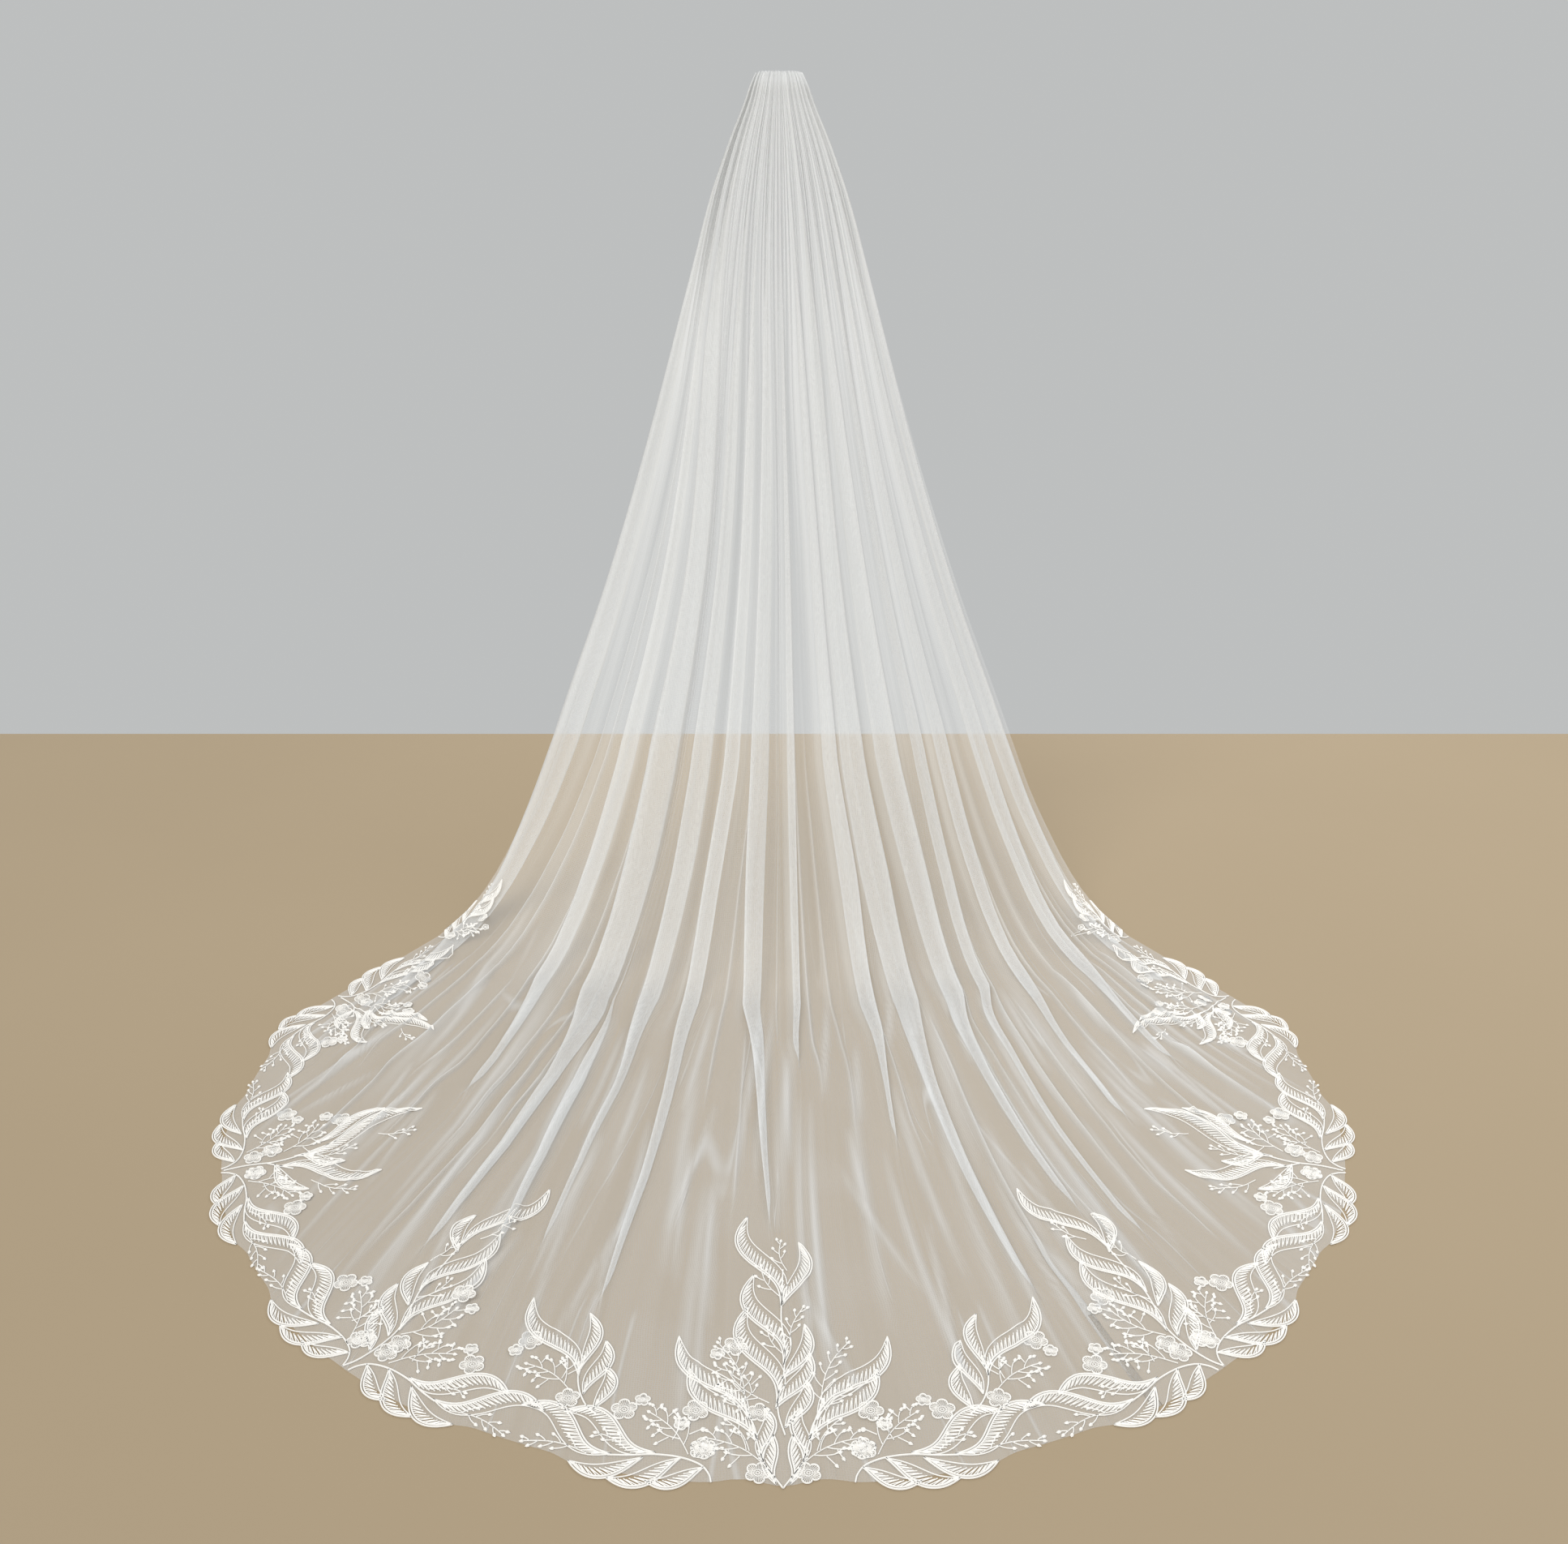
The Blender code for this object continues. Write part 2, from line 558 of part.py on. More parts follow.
def plate_mesh(name, shapes):
    """Merge overlapping outlines into one flat plate lying on the train."""
    points = []
    loops = []
    for shape in shapes:
        start = len(points)
        points.extend(Vector((float(p[0]), float(p[1]))) for p in shape)
        loops.append(list(range(start, len(points))))
    merged = delaunay_2d_cdt(points, [], loops, 1, 0.00002)
    corners = merged[0]
    triangles = [face for face, sources in zip(merged[2], merged[5]) if sources]
    low = WALL + SEAM - COMB_HEIGHT
    work = bmesh.new()
    floor = [work.verts.new((p.x, p.y, low)) for p in corners]
    for triangle in triangles:
        work.faces.new([floor[k] for k in triangle])
    loose = [v for v in work.verts if not v.link_faces]
    bmesh.ops.delete(work, geom=loose, context="VERTS")
    bmesh.ops.dissolve_limit(work, angle_limit=0.001, verts=[], edges=work.edges[:])
    bmesh.ops.triangulate(work, faces=work.faces[:])
    loose = [v for v in work.verts if not v.link_faces]
    bmesh.ops.delete(work, geom=loose, context="VERTS")
    lifted = bmesh.ops.extrude_face_region(work, geom=work.faces[:])
    top = [item for item in lifted["geom"] if isinstance(item, bmesh.types.BMVert)]
    bmesh.ops.translate(work, verts=top, vec=(0.0, 0.0, LACE_WALL))
    mesh = bpy.data.meshes.new(name)
    work.to_mesh(mesh)
    work.free()
    face_out(mesh)
    return mesh


def lace_motifs():
    """Name and outlines of every applique motif, right and left."""
    edge = [train_row(np.array([1.0]), fraction)[0] for fraction in (0.0,) + TRAIN_ROWS]
    side_edge = np.array([(point[0] - DRIFT, -point[1]) for point in edge])
    motifs = {"lace_centre_spray": stem_shapes(CENTRE_STEM)}
    for mirror, hand in ((1, "right"), (-1, "left")):
        for stem in STEMS:
            name = "lace_%s_%s" % (stem.motif, hand)
            if stem.motif == "centre":
                name = "lace_centre_spray"
            motifs.setdefault(name, []).extend(stem_shapes(stem, mirror))
    for name, shapes in motifs.items():
        motifs[name] = [[inside_edges(p, side_edge) for p in shape] for shape in shapes]
    return motifs


# Build
def clear_scene():
    """Remove whatever the open file holds."""
    for obj in list(bpy.data.objects):
        bpy.data.objects.remove(obj)


def build():
    """Make every piece of the veil."""
    clear_scene()
    veil = bpy.data.collections.new("bridal_veil")
    bpy.context.scene.collection.children.link(veil)
    outer, inner = panel_grids()
    panel = wall_mesh("tulle_panel", outer, inner)
    new_object("tulle_panel", panel, IVORY_TULLE, 0.85, veil)
    new_object("hair_comb", comb_mesh(), CLEAR_RESIN, 0.25, veil)
    for name, shapes in lace_motifs().items():
        new_object(name, plate_mesh(name, shapes), IVORY_LACE, 0.9, veil)


build()
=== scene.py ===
# A cathedral bridal veil seen from behind: one tier of soft tulle gathered onto a hair comb,
# falling to the floor and spreading into a round train with leaf lace along its hem.
# Metres, +Z up, +X to the right, the train runs towards -Y, the floor is at z = -1.6.
import math

import bpy
import numpy as np
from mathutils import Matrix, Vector
from mathutils.bvhtree import BVHTree


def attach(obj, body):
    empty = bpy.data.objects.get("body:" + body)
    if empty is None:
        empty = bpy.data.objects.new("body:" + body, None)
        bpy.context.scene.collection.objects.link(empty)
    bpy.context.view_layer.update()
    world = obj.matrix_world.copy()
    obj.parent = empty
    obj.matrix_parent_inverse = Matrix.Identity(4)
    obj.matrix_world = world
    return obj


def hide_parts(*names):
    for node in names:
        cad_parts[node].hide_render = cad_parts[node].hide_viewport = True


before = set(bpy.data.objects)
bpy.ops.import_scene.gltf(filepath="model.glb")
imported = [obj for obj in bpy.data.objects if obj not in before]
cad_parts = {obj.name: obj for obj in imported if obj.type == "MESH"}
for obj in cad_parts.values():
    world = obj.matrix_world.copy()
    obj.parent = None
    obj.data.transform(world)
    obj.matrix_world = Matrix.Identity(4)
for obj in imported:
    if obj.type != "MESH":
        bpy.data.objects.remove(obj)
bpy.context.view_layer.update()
print("frame loaded:", len(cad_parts), "nodes")


# small helpers shared by every piece
def ease(value):
    value = np.clip(value, 0.0, 1.0)
    return value * value * (3.0 - 2.0 * value)


def hexToLinear(code):
    parts = [int(code[k:k + 2], 16) / 255 for k in (1, 3, 5)]
    return [c / 12.92 if c <= 0.04045 else ((c + 0.055) / 1.055) ** 2.4 for c in parts] + [1.0]


def runAlong(points):
    # distance run along a line, at each of its points
    return np.concatenate([[0.0], np.cumsum(np.linalg.norm(np.diff(points, axis=0), axis=1))])


def readLine(at, keys, points):
    # points of a line at the given keys, one row for each
    return np.column_stack([np.interp(at, keys, column) for column in points.T])


def evened(values, window):
    # each column averaged over a window of its neighbours
    half = len(window) // 2
    padded = [np.pad(column, half, mode="edge") for column in values.T]
    return np.column_stack([np.convolve(column, window / window.sum(), mode="valid") for column in padded])


def unit(vectors):
    return vectors / np.maximum(np.linalg.norm(vectors, axis=1, keepdims=True), 1e-9)


def intoScene(name, data):
    thing = bpy.data.objects.new(name, data)
    bpy.context.scene.collection.objects.link(thing)
    return thing


def onVeil(name, mesh, material, replaces=()):
    # makes a mesh a piece of the veil, in place of the solids it stands for
    mesh.shade_smooth()
    mesh.materials.append(material)
    piece = intoScene(name, mesh)
    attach(piece, "root")
    for node in replaces:
        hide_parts(node)
    return piece


def newMesh(name, points, faces):
    mesh = bpy.data.meshes.new(name)
    mesh.from_pydata([tuple(p) for p in points], [], [tuple(f) for f in faces])
    mesh.validate()
    return mesh


# helpers for materials: each adds one node, and takes values or other nodes' outputs as its inputs
def addNode(tree, kind, settings=None, inputs=None):
    node = tree.nodes.new("ShaderNode" + kind)
    for key, value in (settings or {}).items():
        setattr(node, key, value)
    for key, value in (inputs or {}).items():
        if isinstance(value, bpy.types.NodeSocket):
            tree.links.new(value, node.inputs[key])
        else:
            node.inputs[key].default_value = value
    return node


def addMath(tree, operation, *values):
    return addNode(tree, "Math", {"operation": operation}, dict(enumerate(values))).outputs[0]


def addNoise(tree, place, scale, detail, dimensions="3D", **more):
    inputs = {"Vector": place, "Scale": scale, "Detail": detail, **more}
    return addNode(tree, "TexNoise", {"noise_dimensions": dimensions}, inputs).outputs["Fac"]


def addRange(tree, value, given=(0.0, 1.0), wanted=(0.0, 1.0), kind="LINEAR"):
    inputs = {"Value": value, "From Min": given[0], "From Max": given[1],
              "To Min": wanted[0], "To Max": wanted[1]}
    return addNode(tree, "MapRange", {"interpolation_type": kind}, inputs).outputs["Result"]


def addMix(tree, share, *colours):
    # two colours, each a hex value or another node's output
    first, second = [hexToLinear(colour) if isinstance(colour, str) else colour for colour in colours]
    inputs = {"Factor": share, "A": first, "B": second}
    return addNode(tree, "Mix", {"data_type": "RGBA"}, inputs).outputs["Result"]


def addBump(tree, height, strength, distance, **more):
    inputs = {"Height": height, "Strength": strength, "Distance": distance, **more}
    return addNode(tree, "Bump", None, inputs).outputs["Normal"]


def newMaterial(name):
    # a new material, its tree, its shader and the place on the piece
    material = bpy.data.materials.new(name)
    material.use_nodes = True
    tree = material.node_tree
    return material, tree, tree.nodes["Principled BSDF"], addNode(tree, "TexCoord").outputs["Object"]


def joinShader(tree, shader, sources):
    for key, source in sources.items():
        tree.links.new(source, shader.inputs[key])


# materials
def softTulle():
    # Soft nylon bridal tulle: a bobbin net of hexagons about 1.2 mm wide, matt and see-through.
    # The eye sees a pale veil over what lies behind, whiter wherever it lies in layers, with the
    # fine lines of its small pleats, their hollows darkened by painted shade, and, on the floor, thin sharp
    # creases.
    settings = {
        "thread": "#F6F7F7",       # white with the least ivory
        "threadShade": "#EEEFEF",
        "oneLayer": 0.25,          # how much one layer hides
        "most": 0.95,
        "netMm": 3.6,              # three times as coarse as the net's own 1.2 mm, which is too fine to show
        "netDepth": 0.12,
        "moireMm": 8.0,            # watered figure that two layers of net give each other
        "moireDepth": 0.30,
        "pleatMm": 34.0,           # small pleats, measured across the cut cloth
        "pleatDepth": 1.6,
        "paintedGrooveShade": "#E4E5E5",       # painted shade: a darker colour laid between the small pleats
        "creaseMm": 55.0,          # between the fine creases of the train
        "creaseCore": 0.016,       # a crease's own sharp line
        "creaseGlow": 0.07,        # and the slope beside it
    }
    material, tree, shader, where = newMaterial("ivory nylon soft tulle")

    def stored(name, output="Fac"):
        return addNode(tree, "Attribute", {"attribute_name": name}).outputs[output]

    def streaks(place, share, millimetres, detail, **more):
        # noise drawn out along the cloth
        drawn = addNode(tree, "Mapping", None, {"Vector": place, "Scale": (1.0, share, 1.0)})
        return addNoise(tree, drawn.outputs["Vector"], 1000 / millimetres, detail, "2D", **more)

    cloth, cut = stored("flatPlace", "Vector"), stored("cutPlace", "Vector")
    layers, layered, pleated, creased = [stored(name) for name in ("layers", "layered", "pleated", "creased")]

    # the net hides more at its threads than in its holes
    cells = addNode(tree, "TexVoronoi", {"feature": "DISTANCE_TO_EDGE", "voronoi_dimensions": "2D"},
                    {"Vector": cloth, "Scale": 1000 / settings["netMm"], "Randomness": 0.35})
    net = cells.outputs["Distance"]
    thread = addRange(tree, net, (0.05, 0.35), (1.0 + settings["netDepth"], 1.0 - settings["netDepth"]))

    # the watered figure, where layers lie over each other
    figure = streaks(cloth, 0.30, settings["moireMm"], 2.0, Roughness=0.6, Distortion=1.4)
    watered = addMath(tree, "MULTIPLY", layered, 2.0 * settings["moireDepth"])
    moire = addMath(tree, "MULTIPLY_ADD", addMath(tree, "SUBTRACT", figure, 0.5), watered, 1.0)

    # small pleats down the whole cloth
    pleat = streaks(cut, 0.012, settings["pleatMm"], 4.0, Roughness=0.64)
    pleatShare = addMath(tree, "MULTIPLY", pleated, settings["pleatDepth"])
    pleats = addMath(tree, "MULTIPLY_ADD", addMath(tree, "SUBTRACT", pleat, 0.5), pleatShare, 1.0)

    # fine creases in some parts of the train, where the noise crosses its own middle
    level = addMath(tree, "SUBTRACT", streaks(cut, 0.035, settings["creaseMm"], 1.0, Roughness=0.4), 0.5)
    off = addMath(tree, "ABSOLUTE", level)
    core = addRange(tree, off, (0.0, settings["creaseCore"]), (1.0, 0.0), "SMOOTHSTEP")
    glow = addRange(tree, level, (0.0, settings["creaseGlow"]), (0.12, 0.0), "SMOOTHSTEP")
    some = addRange(tree, addNoise(tree, cut, 5.5, 1.0, "2D"), (0.42, 0.64), kind="SMOOTHSTEP")
    shown = addMath(tree, "MULTIPLY", addMath(tree, "ADD", core, glow), some)

    # how many layers deep the cloth is, and how much so many layers hide
    lined = layers
    for share in (thread, moire, pleats):
        lined = addMath(tree, "MULTIPLY", lined, share)
    depth = addMath(tree, "MULTIPLY_ADD", shown, creased, lined)
    seen = addMath(tree, "POWER", 1.0 - settings["oneLayer"], depth)
    alpha = addMath(tree, "MINIMUM", addMath(tree, "SUBTRACT", 1.0, seen), settings["most"])

    colour = addMix(tree, addNoise(tree, where, 5.0, 3.0), settings["thread"], settings["threadShade"])
    # painted shade: the thread is darkened towards the groove colour in the low parts of the small pleats,
    # where their bump runs down into hollows
    between = addMath(tree, "MULTIPLY", addRange(tree, pleat, (0.56, 0.34)), pleated)
    colour = addMix(tree, between, colour, settings["paintedGrooveShade"])
    raised = addBump(tree, addMath(tree, "MULTIPLY", pleat, pleated), 0.7, 0.0036)
    raised = addBump(tree, addMath(tree, "MULTIPLY", shown, creased), 0.5, 0.002, Normal=raised)
    raised = addBump(tree, net, 0.15, 0.0004, Normal=raised)
    rough = addRange(tree, figure, wanted=(0.62, 0.82))
    joinShader(tree, shader, {"Base Color": colour, "Roughness": rough, "Alpha": alpha, "Normal": raised})
    shader.inputs["Sheen Weight"].default_value = 0.25
    shader.inputs["Sheen Roughness"].default_value = 0.4
    shader.inputs["IOR"].default_value = 1.53          # nylon
    return material


def cordedLace():
    # Corded guipure applique: polyester cord couched along each edge, satin stitch between.
    # The eye sees raised white cord, almost opaque, with a soft thread gloss that wavers a little.
    settings = {
        "cord": "#FFFDFA",
        "cordShade": "#EFECE6",
        "waveMm": 28.0,            # size of the gloss's waver: the cord's own twist is too fine to show
    }
    material, tree, shader, where = newMaterial("ivory polyester corded lace")
    wave = addNode(tree, "TexWave", {"bands_direction": "DIAGONAL"},
                   {"Vector": where, "Scale": 1000 / settings["waveMm"], "Distortion": 1.5, "Detail": 1.0})
    spot = addNoise(tree, where, 160.0, 2.0)
    colour = addMix(tree, spot, settings["cord"], settings["cordShade"])
    rough = addRange(tree, spot, wanted=(0.42, 0.62))
    bump = addBump(tree, wave.outputs["Fac"], 0.3, 0.0003)
    joinShader(tree, shader, {"Base Color": colour, "Roughness": rough, "Normal": bump})
    shader.inputs["Sheen Weight"].default_value = 0.15
    shader.inputs["IOR"].default_value = 1.55          # polyester
    return material


def clearResin():
    # Moulded polycarbonate comb: clear with a faint grey, glossy, and hazier where it is thick.
    material, tree, shader, where = newMaterial("clear moulded polycarbonate")
    haze = addNoise(tree, where, 240.0, 2.0)
    colour = addMix(tree, haze, "#EEF0EF", "#DFE3E2")
    joinShader(tree, shader, {"Base Color": colour, "Roughness": addRange(tree, haze, wanted=(0.08, 0.22))})
    shader.inputs["IOR"].default_value = 1.58          # polycarbonate
    shader.inputs["Transmission Weight"].default_value = 0.75
    return material


def sewingThread():
    # Spun polyester sewing thread, ivory: fine, matt, with colour and surface a little uneven.
    material, tree, shader, where = newMaterial("ivory spun polyester thread")
    waver = addNode(tree, "TexWave", {"bands_direction": "DIAGONAL"},
                    {"Vector": where, "Scale": 60.0, "Distortion": 0.8}).outputs["Fac"]
    colour = addMix(tree, waver, "#F4F0E8", "#DCD6CA")
    joinShader(tree, shader, {"Base Color": colour, "Normal": addBump(tree, waver, 0.4, 0.0002)})
    shader.inputs["Roughness"].default_value = 0.7
    return material


def studioFloor():
    # Matt painted studio floor, pale sand, with the faintest roller texture.
    material, tree, shader, where = newMaterial("matt pale studio paint")
    colour = addMix(tree, addNoise(tree, where, 1.2, 4.0), "#A8967B", "#A49277")
    joinShader(tree, shader, {"Base Color": colour})
    shader.inputs["Roughness"].default_value = 0.8
    return material


# the veil's fall: the cut cloth hangs from the comb in an arc that widens to the floor,
# lands behind the wearer and runs out to an elliptical hem
fall = {
    "combHeight": 1.600,
    "lie": 0.0006,                 # the cloth's middle above the floor
    "spread": math.radians(60),    # half angle of the arc across the back
    "drift": 0.009,                # the train lies this far to the right
    "hemBack": 1.200,              # centre of the hem's ellipse behind the comb
    "hemHalfWidth": 0.935,
    "hemHalfLength": 0.850,
    "hemEdge": 104.0,              # degrees round the ellipse where each side edge ends
    "hemCubic": -2.5,              # degrees by which the even spread round the ellipse is bent
    "hemFan": 47.0,                # and by which the cloth swings to the right between middle and side edge
    "hemFanRound": 0.1,            # that starts softly, over this place
    "landingReach": 0.45,          # how long the cloth keeps the heading it lands with
    "headingRow": 14,              # row of the sections below that gives the train its heading
    # height above the floor, half width, setback of the side edges, setback of the centre
    "sections": [
        (1.597, 0.044, 0.0052, 0.0052), (1.606, 0.047, 0.0125, 0.0155), (1.596, 0.053, 0.0210, 0.0310),
        (1.550, 0.070, 0.0320, 0.0540), (1.480, 0.100, 0.0430, 0.0800), (1.400, 0.130, 0.0590, 0.1090),
        (1.200, 0.188, 0.1050, 0.1900), (1.000, 0.245, 0.1600, 0.2800), (0.800, 0.307, 0.2200, 0.3750),
        (0.600, 0.375, 0.2850, 0.4750), (0.400, 0.452, 0.3550, 0.5850), (0.300, 0.490, 0.3960, 0.6430),
        (0.200, 0.530, 0.4400, 0.7050), (0.130, 0.566, 0.4800, 0.7560), (0.070, 0.602, 0.5290, 0.8090),
        (0.020, 0.650, 0.6000, 0.8800), (0.000, 0.700, 0.6800, 0.9500),
    ],
    "crown": 0.005,                # the top's corners round off by this much
    "crownHigh": (1.575, 1.595),   # between these heights that comes in
    "crownBack": (0.005, 0.015),   # and between these setbacks of the centre
    "crownCorner": 5,              # the higher, the nearer to the corners it keeps
    # rows of the mesh in the top part of the centre line, in the next, from there down, and on the floor
    "topRun": 0.10,
    "rowsAtTop": 12,
    "upperRun": 0.62,
    "rowsUpper": 26,
    "rowsHanging": 34,
    "rowsOnFloor": 50,
}
sections = np.array(fall["sections"])
sectionRun = runAlong(sections[:, [0, 3]])    # down the centre line


def smoothRead(at, keys, values):
    # smooth curve through the values, one tangent at each key
    slopes = np.gradient(values, keys, axis=0)
    k = int(np.clip(np.searchsorted(keys, at) - 1, 0, len(keys) - 2))
    span = keys[k + 1] - keys[k]
    t = (at - keys[k]) / span
    return ((2 * t ** 3 - 3 * t ** 2 + 1) * values[k] + (t ** 3 - 2 * t ** 2 + t) * span * slopes[k]
            + (3 * t ** 2 - 2 * t ** 3) * values[k + 1] + (t ** 3 - t ** 2) * span * slopes[k + 1])


def acrossSection(place, section):
    height, halfWidth, edgeBack, centreBack = section
    x = halfWidth * np.sin(place * fall["spread"]) / math.sin(fall["spread"])
    sweep = (1.0 - np.cos(place * fall["spread"])) / (1.0 - math.cos(fall["spread"]))
    x = x + fall["drift"] * (1.0 - height / fall["combHeight"])
    y = -(centreBack - (centreBack - edgeBack) * sweep)
    z = np.full_like(x, max(height, fall["lie"]) - fall["combHeight"])
    crown = fall["crown"]
    for value, (low, high) in ((height, fall["crownHigh"]), (centreBack, fall["crownBack"])):
        crown = crown * ease((value - low) / (high - low))
    return np.column_stack([x, y, z - crown * np.abs(place) ** fall["crownCorner"]])


def hemAngle(place):
    rounded = np.sqrt(place * place + fall["hemFanRound"] ** 2) - fall["hemFanRound"]
    fan = fall["hemFan"] * rounded * (1.0 - np.abs(place))
    return np.radians(fall["hemEdge"] * place + fall["hemCubic"] * (place ** 3 - place) + fan)


def hemPoint(angle, inset):
    x = fall["drift"] + (fall["hemHalfWidth"] - inset) * np.sin(angle)
    y = -fall["hemBack"] - (fall["hemHalfLength"] - inset) * np.cos(angle)
    return np.stack([x, y], axis=-1)


def onFloor(place, fraction, hemInset=None):
    # from where the cloth lands to the hem, keeping the slope that it lands with
    landing = acrossSection(place, sections[-1])[:, :2]
    heading = unit(landing - acrossSection(place, sections[fall["headingRow"]])[:, :2])
    angle = hemAngle(place)
    hem = hemPoint(angle, 0.0 if hemInset is None else hemInset(angle))
    reach = np.linalg.norm(hem - landing, axis=1, keepdims=True)
    middle = landing + fall["landingReach"] * reach * heading
    plan = (1 - fraction) ** 2 * landing + 2 * fraction * (1 - fraction) * middle + fraction ** 2 * hem
    return np.column_stack([plan, np.full(len(plan), fall["lie"] - fall["combHeight"])])


# the border: the veil's outline from the middle of the hem, round to the right and up the side edge
border = {
    "hemReads": 240,
    "sideReads": 60,
    "upTo": 0.34,                  # height above the floor to which the side edge is followed
    "upReads": 40,
    "upSearch": 200,               # steps in which that height is looked for
    "upFrom": 1.0,                 # from this far down the centre line
    "step": 0.005,                 # the outline is kept at even steps of this length
    "turnWindow": 0.05,            # the corner between hem and side edge is eased over this length
    "blend": 0.15,                 # before the landing, the rows of the cloth take over from the plan
    "reach": 0.30,                 # rows are followed in from the side edge for this far
    "reachReads": 31,
    "rowTo": 0.2,                  # and measured as far as this place
    "rowReads": 161,
}


def readBorder():
    # the outline and its direction at even steps, and the rows of the cloth that start at its side
    angles = np.linspace(0.0, math.radians(fall["hemEdge"]), border["hemReads"])
    lie = fall["lie"] - fall["combHeight"]
    line = [(*p, lie) for p in hemPoint(angles, 0.0)]
    curves = [(lambda place, f=f: onFloor(place, f)) for f in np.linspace(1.0, 0.0, border["sideReads"])[1:]]
    search = np.linspace(border["upFrom"], sectionRun[-1], border["upSearch"])
    heights = np.array([smoothRead(run, sectionRun, sections)[0] for run in search])
    start = search[int(np.argmin(np.abs(heights - border["upTo"])))]
    for run in np.linspace(sectionRun[-1], start, border["upReads"])[1:]:
        curves.append(lambda place, s=smoothRead(run, sectionRun, sections): acrossSection(place, s))
    distances = np.linspace(0.0, border["reach"], border["reachReads"])
    rows = []
    for curve in curves:
        points = curve(np.linspace(1.0, border["rowTo"], border["rowReads"]))
        line.append(points[0])
        rows.append(readLine(distances, runAlong(points), points))
    line = np.array(line)
    runs = runAlong(line)
    rowRuns = runs[border["hemReads"]:]
    even = np.arange(0.0, runs[-1], border["step"])
    plan = readLine(even, runs, line)
    half = int(border["turnWindow"] / border["step"])
    tangent = unit(np.gradient(plan[:, :2], axis=0))
    tangent = unit(evened(tangent, np.hanning(4 * half + 3)[1:-1]))
    return even, plan, tangent, rowRuns[border["sideReads"] - 2], rowRuns, np.array(rows), distances


borderRun, borderPlan, borderTangent, landingRun, sideRuns, sideRows, sideDistances = readBorder()


def alongBorder(run, inset):
    # points at a distance along the border from the middle of the hem, and in from it
    at = np.abs(run)
    tangent = readLine(at, borderRun, borderTangent)
    across = np.column_stack([-tangent[:, 1] * inset, tangent[:, 0] * inset, np.zeros_like(at)])
    flat = readLine(at, borderRun, borderPlan) + across
    k = np.clip(np.searchsorted(sideRuns, at) - 1, 0, len(sideRuns) - 2)
    t = np.clip((at - sideRuns[k]) / (sideRuns[k + 1] - sideRuns[k]), 0.0, 1.0)[:, None]
    steps = np.maximum(inset, 0.0) / sideDistances[1]
    j = np.clip(steps.astype(int), 0, len(sideDistances) - 2)
    w = (steps - j)[:, None]
    near, far = [sideRows[row, j] * (1 - w) + sideRows[row, j + 1] * w for row in (k, k + 1)]
    hung = near * (1 - t) + far * t
    share = ease((at - landingRun + border["blend"]) / border["blend"])[:, None]
    return flat * (1 - share) + hung * share


